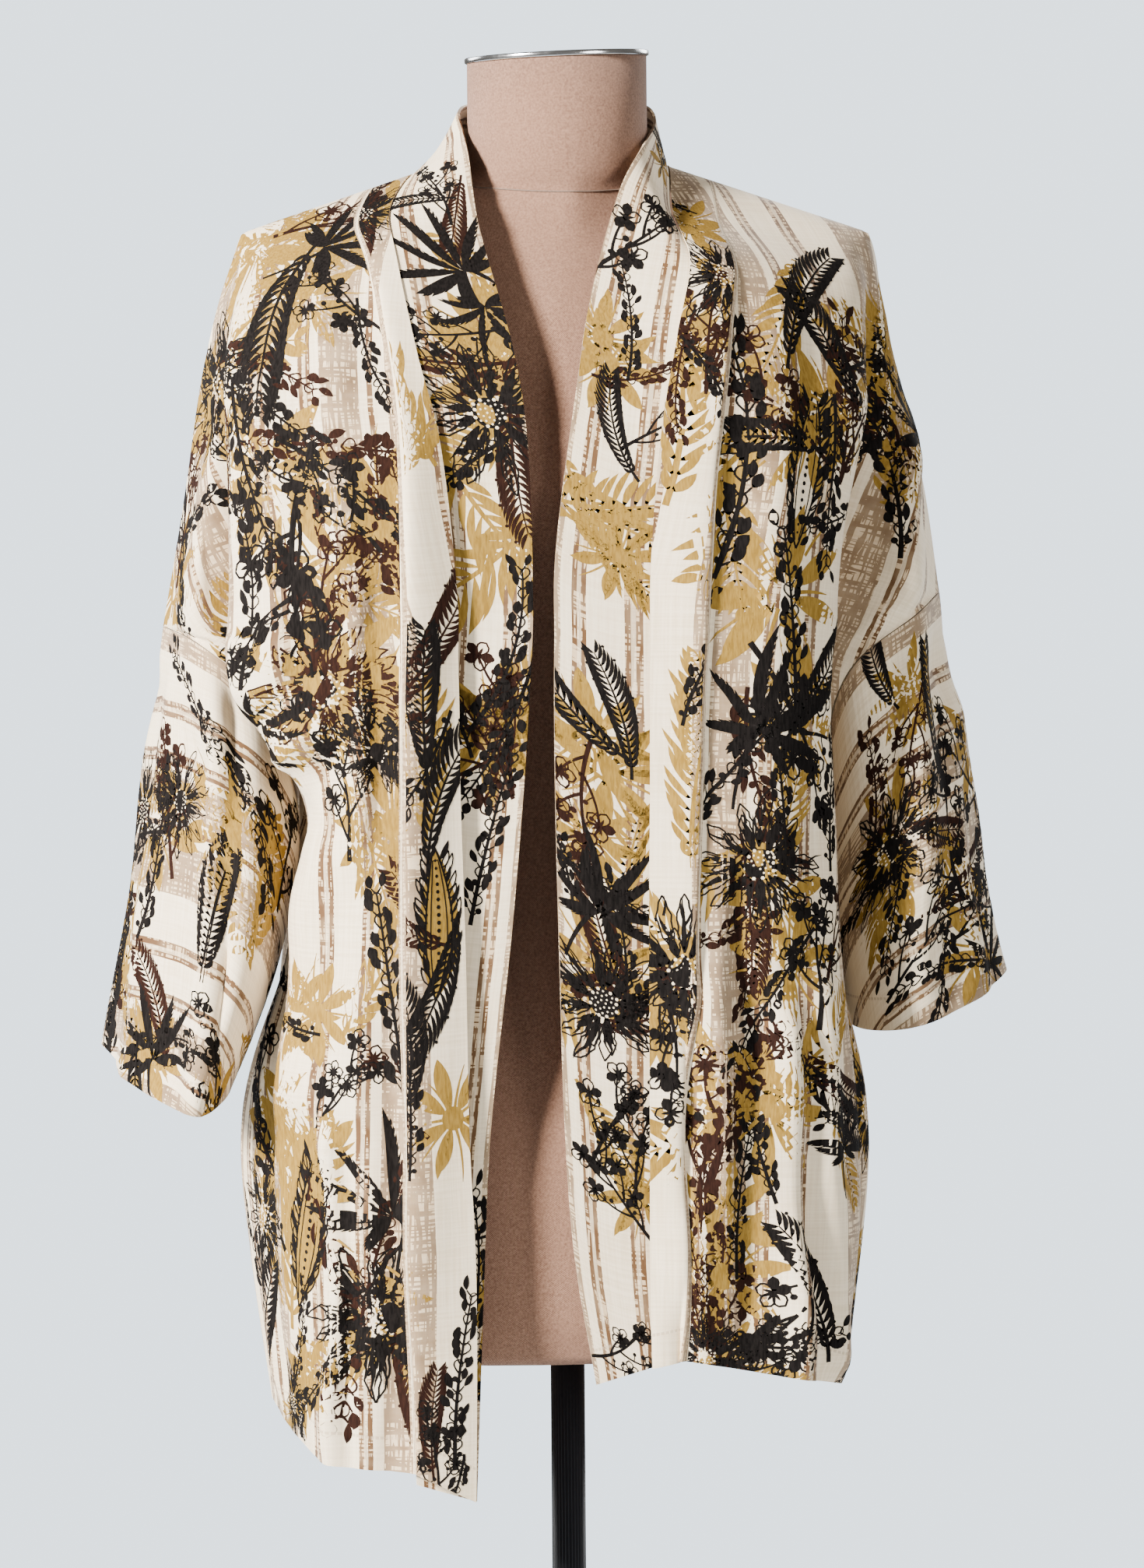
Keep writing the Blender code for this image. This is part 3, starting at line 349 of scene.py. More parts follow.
# The printed design, an ordinary mixed floral of our own drawing, by panel and side seen: motif, x and z of
# its middle (y and z on the left and right), its length or width, and its turn in degrees from upright. What
# is printed beside each motif hangs on its number in the whole table.
MOTIFS = (
    ("right_front", "front", (
        ("plume", 214, 1345, 134, 20), ("bloom", 205, 1265, 112, 80), ("posy", 222, 1322, 104, 10),
        ("sprig", 205, 1262, 134, 165), ("palmate", 150, 1408, 94, 60), ("plume", 178, 1404, 124, 100),
        ("posy", 132, 1424, 80, 30), ("spray", 158, 1370, 78, -60), ("plume", 112, 1296, 96, 30),
        ("fern", 112, 1118, 96, 0), ("bloom", 133, 1228, 88, 10), ("brown spray", 128, 1232, 90, 0),
        ("bloom", 172, 1135, 134, 40), ("brown aster", 168, 1128, 98, 50),
        ("brown spray", 176, 1190, 100, 10), ("sprig", 205, 1190, 100, 20), ("spray", 214, 1150, 86, 70),
        ("palmate", 214, 1095, 78, 120), ("aster", 138, 1090, 62, 0), ("plume", 142, 1030, 100, 160),
        ("fern", 104, 1065, 104, 10), ("paisley", 106, 985, 98, 0), ("sprig", 136, 935, 124, -12),
        ("bloom", 176, 930, 78, 0), ("spray", 168, 880, 74, 20), ("plume", 186, 800, 146, 10),
        ("paisley", 182, 790, 108, 10), ("palmate", 140, 812, 104, -30), ("posy", 138, 742, 100, 0),
        ("sprig", 112, 870, 86, 15), ("sprig", 104, 690, 100, -8), ("bloom", 184, 690, 68, 0),
        ("aster", 188, 676, 62, 0), ("spray", 104, 648, 68, 10),
    )),
    ("right_neckband", "front", (
        ("palmate", 84, 1392, 96, -50), ("palmate", 62, 1360, 68, 170), ("posy", 66, 1302, 94, 0),
        ("plume", 72, 1340, 100, 20), ("plume", 66, 1225, 124, 150), ("sprig", 60, 1150, 100, 20),
        ("brown spray", 60, 1105, 90, -10), ("bloom", 68, 1100, 90, 10), ("sprig", 66, 1030, 100, 10),
        ("sprig", 84, 760, 100, 0), ("spray", 86, 690, 68, 0), ("spray", 78, 1440, 68, 0),
    )),
    ("left_front", "front", (
        ("aster", 90, 1386, 74, 0), ("bloom", 74, 1420, 68, 0), ("plume", 68, 1310, 146, 10),
        ("brown spray", 72, 1350, 78, 0), ("fern", 140, 1370, 108, 20), ("fern", 163, 1340, 94, -20),
        ("sprig", 100, 1270, 146, 10), ("paisley", 137, 1262, 104, 5), ("plume", 84, 1220, 100, 170),
        ("brown spray", 176, 1300, 100, 10), ("bloom", 188, 1320, 100, 0), ("sprig", 206, 1260, 112, -20),
        ("plume", 214, 1290, 112, 0), ("sprig", 120, 1160, 124, -10), ("sprig", 62, 1150, 90, 10),
        ("palmate", 106, 1108, 108, 20), ("plume", 60, 1072, 112, 0), ("paisley", 64, 1064, 108, 0),
        ("posy", 104, 1016, 94, 0), ("spray", 142, 960, 94, 0), ("sprig", 150, 1060, 100, 0),
        ("posy", 52, 948, 96, 20), ("bloom", 108, 860, 112, 0), ("plume", 142, 900, 100, 30),
        ("brown spray", 60, 850, 124, 0), ("sprig", 92, 800, 90, 10), ("plume", 64, 760, 100, 0),
        ("brown spray", 70, 740, 100, -10), ("palmate", 160, 840, 68, 0), ("fern", 152, 750, 100, 0),
        ("spray", 100, 700, 68, 40), ("aster", 64, 706, 56, 0),
    )),
    ("left_front", "left", (
        ("plume", -52, 905, 124, 10), ("aster", -40, 850, 86, 0), ("sprig", -22, 770, 124, -12),
        ("bloom", -46, 742, 100, 0), ("palmate", -30, 1290, 84, 20), ("bloom", -34, 1330, 84, 0),
    )),
    ("right_front", "right", (
        ("spray", -30, 900, 100, 10), ("bloom", -52, 850, 112, 0), ("aster", -36, 792, 88, 0),
        ("fern", -24, 715, 104, -10), ("paisley", -36, 1300, 100, 10), ("sprig", -30, 1210, 112, -10),
    )),
    ("left_sleeve", "left", (
        ("bloom", -10, 1080, 100, 0), ("sprig", 4, 1060, 100, 10),
    )),
    ("right_sleeve", "right", (
        ("aster", 0, 1050, 80, 0), ("plume", -16, 980, 104, 20), ("sprig", 12, 940, 100, -10),
    )),
    ("back", "left", (
        ("fern", 40, 1290, 104, 10),
    )),
    ("left_neckband", "front", (
        ("spray", 34, 1408, 100, 30), ("bloom", 10, 1330, 74, 0), ("plume", 2, 1250, 100, 60),
        ("fern", 14, 1288, 68, -30), ("bloom", 12, 1210, 68, 0), ("bloom", 4, 1080, 90, 0),
        ("fern", 20, 1110, 78, 0), ("sprig", -18, 1030, 68, 0), ("palmate", 4, 992, 90, 30),
        ("posy", 2, 930, 88, 0), ("spray", 6, 862, 82, 20), ("spray", 10, 812, 74, -40),
        ("spray", 14, 712, 68, 60), ("spray", 64, 1462, 56, 0),
    )),
    ("right_sleeve", "front", (
        ("aster", 252, 1060, 72, 0), ("sprig", 226, 1110, 100, 10), ("bloom", 220, 1040, 100, 0),
        ("sprig", 268, 1020, 100, -8), ("fern", 238, 990, 90, 0), ("plume", 204, 1010, 100, -10),
        ("sprig", 214, 905, 90, 40), ("palmate", 272, 905, 78, 20), ("bloom", 276, 900, 78, 0),
        ("spray", 240, 880, 78, 60),
    )),
    ("right_sleeve", "back", (
        ("posy", 230, 1040, 94, 0), ("plume", 258, 1000, 112, 30), ("sprig", 250, 960, 112, 10),
        ("palmate", 222, 930, 90, 10), ("spray", 214, 1090, 78, 0),
    )),
    ("left_sleeve", "front", (
        ("bloom", 215, 1120, 68, 0), ("fern", 226, 1100, 90, 10), ("posy", 200, 1018, 80, 0),
        ("spray", 236, 1030, 100, 20), ("spray", 226, 968, 90, -60), ("sprig", 262, 1000, 78, 0),
        ("sprig", 244, 945, 90, 70), ("palmate", 275, 945, 68, 0),
    )),
    ("left_sleeve", "back", (
        ("posy", 240, 1060, 94, 0), ("plume", 216, 1010, 112, 0), ("sprig", 250, 990, 112, 10),
        ("spray", 216, 960, 78, 0),
    )),
    ("back", "back", (
        ("palmate", 172, 880, 84, 10), ("sprig", 176, 800, 112, 0), ("spray", -174, 900, 96, 10),
        ("aster", -170, 740, 84, 0), ("posy", -60, 1330, 104, 0), ("plume", -78, 1290, 134, 20),
        ("palmate", -120, 1360, 100, 40), ("sprig", -30, 1260, 134, 10), ("spray", 20, 1370, 100, -20),
        ("bloom", 70, 1340, 112, 0), ("fern", 84, 1330, 112, 10), ("posy", 140, 1310, 94, 30),
        ("brown spray", 120, 1230, 112, -10), ("plume", 150, 1240, 124, 160), ("sprig", 190, 1330, 112, -30),
        ("sprig", -180, 1300, 124, 30), ("bloom", -196, 1260, 100, 0), ("palmate", -150, 1200, 108, -20),
        ("paisley", -100, 1200, 108, 0), ("posy", 30, 1190, 104, 0), ("bloom", 10, 1150, 134, 0),
        ("palmate", 76, 1140, 104, 60), ("sprig", -60, 1120, 134, -10), ("brown aster", -130, 1080, 100, 0),
        ("brown spray", -100, 1030, 112, 10), ("plume", -60, 1000, 134, 0), ("paisley", 130, 1080, 108, -5),
        ("fern", 20, 1050, 112, 0), ("spray", 80, 1010, 100, 20), ("posy", 126, 960, 96, 0),
        ("bloom", 40, 950, 124, 0), ("sprig", 10, 930, 134, 10), ("palmate", -40, 900, 108, -30),
        ("posy", -110, 900, 104, 0), ("plume", -140, 850, 134, 10), ("sprig", -150, 800, 124, 0),
        ("brown spray", 80, 870, 112, 0), ("palmate", 140, 840, 100, 30), ("paisley", 30, 820, 108, 5),
        ("spray", -70, 800, 100, 10), ("posy", 90, 760, 100, 0), ("bloom", 110, 740, 124, 0),
        ("posy", -30, 740, 100, 20), ("plume", -10, 760, 124, 170), ("sprig", -110, 730, 112, -10),
        ("spray", 40, 715, 78, 60), ("palmate", 156, 730, 90, 10),
    )),
)


def listed(groups):
    """The rows of a table grouped by panel and side seen, each with these two before it."""
    return [(panel, view, *row) for panel, view, rows in groups for row in rows]


def spline(points, strips, knots=None, start=1.0):
    """A smooth curve through points (any trailing shape), with so many strips after each.

    start scales the rise of its first tangent, so that 0 sets off level.
    """
    points = np.asarray(points, float)
    if knots is None:
        steps = np.linalg.norm(np.diff(points, axis=0), axis=-1)
        knots = np.concatenate([[0], np.cumsum(np.sqrt(steps) + TINY)])
    slopes = [(points[i + 1] - points[i]) / (knots[i + 1] - knots[i]) for i in range(len(points) - 1)]
    first = slopes[0].copy()
    first[..., -1] *= start
    tangents = [first]
    for i in range(1, len(points) - 1):
        before, after = knots[i] - knots[i - 1], knots[i + 1] - knots[i]
        tangents.append((after * slopes[i - 1] + before * slopes[i]) / (before + after))
    tangents.append(slopes[-1])
    curve = []
    for i, count in enumerate(strips):
        span = knots[i + 1] - knots[i]
        for t in np.arange(count) / count:
            curve.append((1 + 2 * t) * (1 - t) ** 2 * points[i]
                         + t * (1 - t) ** 2 * span * tangents[i]
                         + t * t * (3 - 2 * t) * points[i + 1]
                         + t * t * (t - 1) * span * tangents[i + 1])
    curve.append(points[-1])
    return np.array(curve)


def level_knots():
    """A knot for each level, shared by all the panels, so that their rows meet at the seams."""
    heights = np.array([level[1] for level in LEVELS], float)
    return np.concatenate([[0], np.cumsum(np.sqrt(-np.diff(heights)))])


def row_of(level):
    """The grid row at which a level lies."""
    return sum(ROW_STRIPS[:level])


def shifted_inwards(grid, sides, distance):
    """A grid with the named edges drawn back along the cloth, which leaves a seam's gap."""
    grid = grid.copy()
    for side in sides:
        lines = grid if side == "top" else np.swapaxes(grid, 0, 1)
        edge, inner = (-1, -2) if side == "last" else (0, 1)
        step = lines[inner] - lines[edge]
        lines[edge] += distance * step / np.linalg.norm(step, axis=-1, keepdims=True)
    return grid


def placed(points, side):
    """Table points in metres, on the +X side for 1 and on the -X side for -1."""
    return np.asarray(points, float) * (side * MM, MM, MM)


def in_table(points, side):
    """Points in metres as the tables measure them."""
    return points * (side / MM, 1 / MM, 1 / MM)


def down_band(points):
    """A smooth curve through points down the neckband: its neck points come before the levels."""
    return spline(points, NECK_STRIPS + tuple(ROW_STRIPS), np.concatenate([NECK_KNOTS, level_knots()]))


def band_grid(side):
    """The neckband from the centre back to the hem, each row from its free edge to its sewn edge."""
    grid = down_band(placed([row[:2] for row in BANDS[side]], side))
    across = np.linspace(0, 1, BAND_STRIPS + 1)[None, :, None]
    return grid[:, :1] * (1 - across) + grid[:, 1:] * across


def band_outwards(grid, side):
    """The way off the neckband's outer face, at each of its rows."""
    down = np.gradient(grid[:, 2], axis=0)
    away = np.cross(down, grid[:, -1] - grid[:, 0]) * side
    return away / np.linalg.norm(away, axis=1, keepdims=True)


def lapped_edge(side):
    """The line where a front panel's edge lies on the neckband, made from the band's points, moved out."""
    grid = band_grid(side)
    lap = down_band([row[2:] for row in BANDS[side]])
    share, lift = lap[:, :1], lap[:, 1:] * MM
    edge = grid[:, 0] + share * (grid[:, -1] - grid[:, 0])
    edge = edge + band_outwards(grid, side) * (BAND_WALL + lift)
    return edge[sum(NECK_STRIPS):]


def on_ridge(point, neck, outer):
    """A table point moved onto the straight shoulder ridge from the neck point to the outer end."""
    along = (point[0] - neck[0]) / (outer[0] - neck[0])
    return neck + along * (outer - neck)


def front_net(side):
    """The front panel's lines, one column each, with the riser beside its pressed fold worked out."""
    starts = lapped_edge(side)[[row_of(level) for level in range(len(LEVELS))]]
    net = []
    for level, (start, (height, *lines)) in enumerate(zip(starts, FRONTS[side])):
        fold = lines[0]
        depth = FOLD_DEPTH[side] * min(1.0, abs(fold[1]) / FOLD_FULL_AT)
        lines.insert(1, (fold[0] + STEP_RUN, fold[1] + depth, *fold[2:]))
        edge = in_table(start, side)
        outer = np.array((lines[-1][0], lines[-1][1], height), float)
        points = [edge]
        for line in lines:
            if level == 0:
                point = on_ridge(line, edge, outer)
            elif len(line) > 2:
                point = line
            else:
                along = (line[0] - edge[0]) / (outer[0] - edge[0])
                point = (line[0], line[1], edge[2] + (height - edge[2]) * along)
            points.append(point)
        net.append(placed(points, side))
    return np.array(net)


def woven(net, strips, corner=0):
    """The grid through a net of points: smooth along each row, then down each column.

    The first row may turn a corner at one of its points, as the back's neck edge does at the shoulder.
    """
    rows = [spline(row, strips) for row in net]
    if corner:
        neck = spline(net[0][:corner + 1], strips[:corner])
        rows[0] = np.concatenate([neck[:-1], spline(net[0][corner:], strips[corner:])])
    return spline(rows, ROW_STRIPS, level_knots(), SHOULDER_ROUNDING)


def outer_edge(points):
    """A panel's outer end: the sleeve's top fold, the armhole seam, the side seam, and corners between."""
    line = []
    for first, last in ((0, ARMHOLE_ROW), (ARMHOLE_ROW, UNDERARM_ROW), (UNDERARM_ROW, len(LEVELS) - 1)):
        part = spline(points[first:last + 1], ROW_STRIPS[first:last], level_knots()[first:last + 1])
        line.append(part[:-1] if last < len(LEVELS) - 1 else part)
    return np.concatenate(line)


def eased(grid, wanted, reach):
    """A grid whose first column is moved to the wanted points, the move fading out over so many columns."""
    fade = np.clip(1 - np.arange(grid.shape[1]) / reach, 0, 1)[None, :, None]
    return grid + (wanted - grid[:, 0])[:, None] * fade


def front_grid(side):
    net = front_net(side)
    grid = eased(woven(net, FRONT_STRIPS), lapped_edge(side), FRONT_STRIPS[0])
    return eased(grid[:, ::-1], outer_edge(net[:, -1]), FRONT_STRIPS[-1])[:, ::-1]


def neck_edge(side):
    """The back's neck edge: the neckband's sewn edge down to the shoulder, moved out."""
    band = band_grid(side)
    edge = band[:, -1] + band_outwards(band, side) * (BAND_WALL + SEAM_GAP)
    return edge[:sum(NECK_STRIPS) + 1]


def back_half(side):
    """The back panel's lines on one side, from the centre outwards."""
    neck = in_table(neck_edge(side), side)
    on_neck = (neck[0] * (0, 1, 1), neck[sum(NECK_STRIPS[:2])], neck[-1])
    net = []
    for level, ((middle, *lines), outer) in enumerate(zip(BACK, front_net(side)[:, -1])):
        outer = in_table(outer, side)
        if level == 0:
            points = list(on_neck) + [on_ridge(line, neck[-1], outer) for line in lines[3:]]
        else:
            points = [(x, y, middle + (outer[2] - middle) * x / outer[0]) for x, y in lines]
        points.append((outer[0], abs(outer[1]), outer[2]))
        net.append(placed(points, side))
    return np.array(net)


def back_grid(side):
    """Half of the back, its neck edge made from the neckband's points."""
    net = back_half(side)
    grid = woven(net, BACK_STRIPS, corner=2)
    wanted = grid[0].copy()
    wanted[:sum(NECK_STRIPS) + 1] = neck_edge(side)
    wanted[0, 0] = 0
    grid = np.moveaxis(eased(np.moveaxis(grid, 0, 1), wanted, row_of(2)), 0, 1)
    return eased(grid[:, ::-1], outer_edge(net[:, -1]), BACK_STRIPS[-1])[:, ::-1]


def armhole_ring(side):
    """The seam round the sleeve: down the front from the top fold to the underarm, and up the back."""
    seam = slice(row_of(ARMHOLE_ROW), row_of(UNDERARM_ROW) + 1)
    front = front_grid(side)[seam, -1]
    back = back_grid(side)[seam, -1]
    ring = np.concatenate([front, back[::-1][1:-1]])
    around = np.abs(np.arange(len(ring)) - (len(front) - 1))
    ease = np.clip(1 - around / EASE_POINTS, 0, 1)[:, None]
    return ring + ease * np.array((side * UNDERARM_GAP, 0, 0))


def sleeve_ring(section, count, side):
    """A ring from its table row: 0 is the outer side, a quarter is the front, a half is the underarm."""
    centre, half_width, half_depth, turn, rise_out, rise_back, crease = section
    angle = 2 * np.pi * np.arange(count) / count
    across = half_width * np.cos(angle) * (1 - crease * np.abs(np.sin(angle)) ** 3)
    along = -half_depth * np.sin(angle)
    turn = math.radians(turn)
    x = across * math.cos(turn) - along * math.sin(turn)
    y = across * math.sin(turn) + along * math.cos(turn)
    return placed(np.stack([x, y, rise_out * x + rise_back * y], axis=1) + np.array(centre), side)


def sleeve_grid(side):
    first = armhole_ring(side)
    net = [first] + [sleeve_ring(row, len(first), side) for row in SLEEVES[side]]
    heights = np.array(net)[:, :, 2].mean(axis=1)
    return spline(net, SLEEVE_STRIPS, np.concatenate([[0], np.cumsum(np.sqrt(-np.diff(heights)))]))


def normals_of(grid, outwards, closed=False):
    """The way off the cloth's outer face at each of its points."""
    if closed:
        around = np.roll(grid, -1, axis=1) - np.roll(grid, 1, axis=1)
    else:
        around = np.gradient(grid, axis=1)
    away = np.cross(np.gradient(grid, axis=0), around) * outwards
    return away / np.maximum(np.linalg.norm(away, axis=2, keepdims=True), 1e-12)


def seen_from(view, side, points, normals):
    """Where points lie across a view, in millimetres, and how far they face it; side gives +X or -X."""
    if view in ("left", "right"):
        return points[..., 1] / MM, normals[..., 0] * (1 if view == "left" else -1)
    return points[..., 0] * side / MM, normals[..., 1] * (-1 if view == "front" else 1)


def creased(grid, normals, panel, side, hold):
    """A panel with its creases: each is a soft ridge or a sharper trough, uneven along its length."""
    moved = np.zeros(grid.shape[:2])
    z = grid[:, :, 2] / MM
    for number, (name, view, x1, z1, x2, z2, width, height) in enumerate(listed(CREASES)):
        if name != panel:
            continue
        x, facing = seen_from(view, side, grid, normals)
        run, fall = x2 - x1, z2 - z1
        length = math.hypot(run, fall)
        along = ((x - x1) * run + (z - z1) * fall) / length ** 2
        wander = 2.2 * np.sin(along * 5.1 + number * 1.7) + 1.1 * np.sin(along * 12.3 + number)
        off = ((x - x1) * fall - (z - z1) * run) / length + wander
        body = np.clip(along, 0, 1)
        past = np.abs(along - body) * length
        taper = np.exp(-(past / CREASE_END) ** 2) * (0.72 + 0.28 * np.sin(body * 7.3 + number * 2.1))
        seen = np.clip(facing * 4 + (1.2 if view in ("front", "back") else 0), 0, 1)
        sharpness = RIDGE_SHARPNESS if height > 0 else TROUGH_SHARPNESS
        moved += height * np.exp(-np.abs(off / width) ** sharpness) * taper * seen
    return grid + normals * (moved * hold * MM)[:, :, None]


def rippled(grid, normals, hold, seed):
    """Cloth is never quite even: faint long waves, all below a millimetre or so."""
    x, y, z = (grid[:, :, i] / MM for i in range(3))
    wave = np.zeros_like(x)
    for turn in range(1, 6):
        lean = 0.35 * math.sin(seed * 3.1 + turn * 2.3)
        run = (x + lean * z + 0.6 * y) / (9 + 5.5 * turn)
        wave += 0.5 * np.sin(run + seed + turn) * np.sin(z / (31 + 17 * turn) + seed * turn)
    return grid + normals * (wave * hold * MM)[:, :, None]


def held(shape, reach, closed=False):
    """How free each point of a panel is to move: not at all at the top, nor at an open panel's sides."""
    rows, columns = (np.arange(count) for count in shape[:2])
    free = np.ones(shape[:2])
    if not closed:
        free *= np.clip(columns / reach, 0, 1)[None, :]
        free *= np.clip((len(columns) - 1 - columns) / reach, 0, 1)[None, :]
    free *= np.clip(rows / reach, 0, 1)[:, None]
    return free * free * (3 - 2 * free)


def spread_out(grid, fixed):
    """The panel's flat cut: its points moved about in a plane until every strip has its true size again."""
    coarse = grid[::FINE, ::FINE]
    rows, columns = coarse.shape[:2]
    flat = np.zeros((rows, columns, 2))
    flat[:, 1:, 0] = np.cumsum(np.linalg.norm(np.diff(coarse, axis=1), axis=2), axis=1)
    flat[1:, :, 1] = -np.cumsum(np.linalg.norm(np.diff(coarse, axis=0), axis=2), axis=0)[:, :1]
    pinned = np.zeros((rows, columns), bool)
    pinned[fixed:, 0] = True
    head, tail, every = slice(None, -1), slice(1, None), slice(None)
    pairs = (((head, head), (tail, tail)), ((head, tail), (tail, head)),
             ((every, head), (every, tail)), ((head, every), (tail, every)))
    sizes = [np.linalg.norm(coarse[there] - coarse[here], axis=2) for here, there in pairs]
    for _ in range(SPREAD_ROUNDS):
        move = np.zeros_like(flat)
        count = np.zeros((rows, columns, 1))
        for (here, there), size in zip(pairs, sizes):
            step = flat[there] - flat[here]
            long = np.maximum(np.linalg.norm(step, axis=2), TINY)
            pull = step * ((long - size) / long * 0.5)[:, :, None]
            move[here] += pull
            move[there] -= pull
            count[here] += 1
            count[there] += 1
        move[pinned] = 0
        flat += SPREAD_PUSH * move / count
    r, c = (np.arange(number) / FINE for number in grid.shape[:2])
    r0 = np.minimum(r.astype(int), rows - 2)
    c0 = np.minimum(c.astype(int), columns - 2)
    down, across = (r - r0)[:, None, None], (c - c0)[None, :, None]
    top = flat[r0][:, c0] * (1 - across) + flat[r0][:, c0 + 1] * across
    low = flat[r0 + 1][:, c0] * (1 - across) + flat[r0 + 1][:, c0 + 1] * across
    return top * (1 - down) + low * down


def unrolled(grid):
    """A strip or tube laid flat by its mean row and its columns' lengths."""
    flat = np.zeros(grid.shape[:2] + (2,))
    flat[:, 1:, 0] = np.cumsum(np.linalg.norm(np.diff(grid, axis=1), axis=2).mean(axis=0))[None, :]
    flat[1:, :, 1] = -np.cumsum(np.linalg.norm(np.diff(grid, axis=0), axis=2), axis=0)
    return flat


def crossed(first, second):
    """Twice the area between pairs of flat vectors."""
    return first[..., 0] * second[..., 1] - first[..., 1] * second[..., 0]


def with_pleat(flat):
    """The front's cut, with the cloth that lies folded away behind its pressed fold."""
    flat = flat.copy()
    flat[:, :, 0] += HIDDEN_PLEAT * np.clip((np.arange(flat.shape[1]) - FRONT_STRIPS[0]) / FINE, 0, 1)
    return flat


def quads_of(index):
    """The four corners of each face of a grid of point numbers."""
    return np.stack([index[:-1, :-1], index[1:, :-1], index[1:, 1:], index[:-1, 1:]], axis=-1)


def numbered(shape):
    return np.arange(shape[0] * shape[1]).reshape(shape[:2])


def added(name, data):
    """A new object in the scene."""
    made = bpy.data.objects.new(name, data)
    bpy.context.scene.collection.objects.link(made)
    return made


def mesh_of(name, shape):
    """A mesh from what was shaped, which is let go."""
    mesh = bpy.data.meshes.new(name)
    shape.to_mesh(mesh)
    shape.free()
    return mesh


def shell(name, grid, normals, flat, wall, material, outwards, closed):
    """A panel of cloth: its outer and inner faces, joined round the edges, with its cut as its UV map."""
    index, place = numbered(grid.shape), numbered(flat.shape)
    count = index.size
    if closed:
        index = np.concatenate([index, index[:, :1]], axis=1)
    quads, at = quads_of(index).reshape(-1, 4), quads_of(place).reshape(-1, 4)
    if outwards < 0:
        quads, at = quads[:, ::-1], at[:, ::-1]
    rims = [(index[0], place[0], 1), (index[-1], place[-1], -1)]
    if not closed:
        rims += [(index[:, 0], place[:, 0], -1), (index[:, -1], place[:, -1], 1)]
    faces, spots = [quads, quads[:, ::-1] + count], [at, at[:, ::-1]]
    for line, spot, way in rims:
        turn = way * outwards
        faces.append(np.stack([line[:-1], line[1:], line[1:] + count, line[:-1] + count], axis=-1)[:, ::turn])
        spots.append(np.stack([spot[:-1], spot[1:], spot[1:], spot[:-1]], axis=-1)[:, ::turn])
    mesh = bpy.data.meshes.new(name)
    points = np.concatenate([(grid + normals * wall).reshape(-1, 3), grid.reshape(-1, 3)])
    mesh.from_pydata(points.tolist(), [], np.concatenate(faces).tolist())
    cut = flat.reshape(-1, 2)[np.concatenate(spots).reshape(-1)]
    mesh.uv_layers.new(name="UVMap").uv.foreach_set("vector", cut.astype(np.float32).reshape(-1))
    from_hem = np.zeros(grid.shape[:2])
    from_hem[:-1] = np.cumsum(np.linalg.norm(np.diff(grid, axis=0), axis=2)[::-1], axis=0)[::-1]
    attribute = mesh.attributes.new("from_hem", "FLOAT", "POINT")
    attribute.data.foreach_set("value", np.concatenate([from_hem.reshape(-1)] * 2).astype(np.float32))
    mesh.shade_smooth()
    mesh.set_sharp_from_angle(angle=math.radians(CLOTH_SHARP_FROM))
    mesh.materials.append(material)
    return added(name, mesh)


def polar(radius, angle):
    return np.array((radius * math.cos(angle), radius * math.sin(angle)))


def turned(shape, angle):
    """Flat points turned about the origin."""
    return shape @ np.array(((math.cos(angle), -math.sin(angle)), (math.sin(angle), math.cos(angle)))).T


def heading_of(way):
    return math.atan2(way[1], way[0])


def across_of(path):
    """The way across a path at each of its points."""
    along = np.gradient(path, axis=0)
    across = np.stack([along[:, 1], -along[:, 0]], axis=1)
    return across / np.maximum(np.linalg.norm(across, axis=1, keepdims=True), TINY)


def ribbon(path, widths, ink, strips=1):
    """A brush stroke: a path in millimetres, as wide as asked at each of its points."""
    path = np.asarray(path, float)
    share = np.linspace(-1, 1, strips + 1)[None, :, None]
    points = path[:, None] + across_of(path)[:, None] * np.asarray(widths, float)[:, None, None] * share
    return [(points.reshape(-1, 2), quads_of(numbered(points.shape)).reshape(-1, 4).tolist(), ink)]


def dot(middle, radius, ink, corners=8):
    angle = 2 * np.pi * np.arange(corners) / corners
    ring = np.asarray(middle, float) + radius * np.stack([np.cos(angle), np.sin(angle)], axis=1)
    return [(ring, [list(range(corners))], ink)]


def bend(start, heading, length, curl, count):
    """A path that sets off on a heading, in radians from +X, and curls steadily."""
    steps = heading + curl * np.linspace(0, 1, count)
    walk = np.stack([np.cos(steps), np.sin(steps)], axis=1) * length / (count - 1)
    return np.concatenate([[start], np.asarray(start, float) + np.cumsum(walk[:-1], axis=0)])


def leaf_widths(count, widest, middle):
    """The half widths down a leaf that is widest at its middle, a share of its length."""
    t = np.linspace(0, 1, count)
    rise = np.where(t < middle, t / middle, (1 - t) / (1 - middle))
    return widest * np.sin(rise * np.pi / 2) ** 0.85


def leaf(start, heading, length, curl, count, widest, middle, ink, strips=1):
    return ribbon(bend(start, heading, length, curl, count), leaf_widths(count, widest, middle), ink, strips)


def stalk(start, heading, length, curl, count, first, last, ink):
    """A path, and the line drawn along it that goes from one half width to another."""
    path = bend(start, heading, length, curl, count)
    return path, ribbon(path, np.linspace(first, last, count), ink)


def outline(path, widths, pen, ink):
    """The edge of a leaf or petal, drawn with a pen."""
    across = across_of(path) * widths[:, None]
    edge = np.concatenate([path + across, (path - across)[::-1]])
    return ribbon(edge, np.full(len(edge), pen), ink)


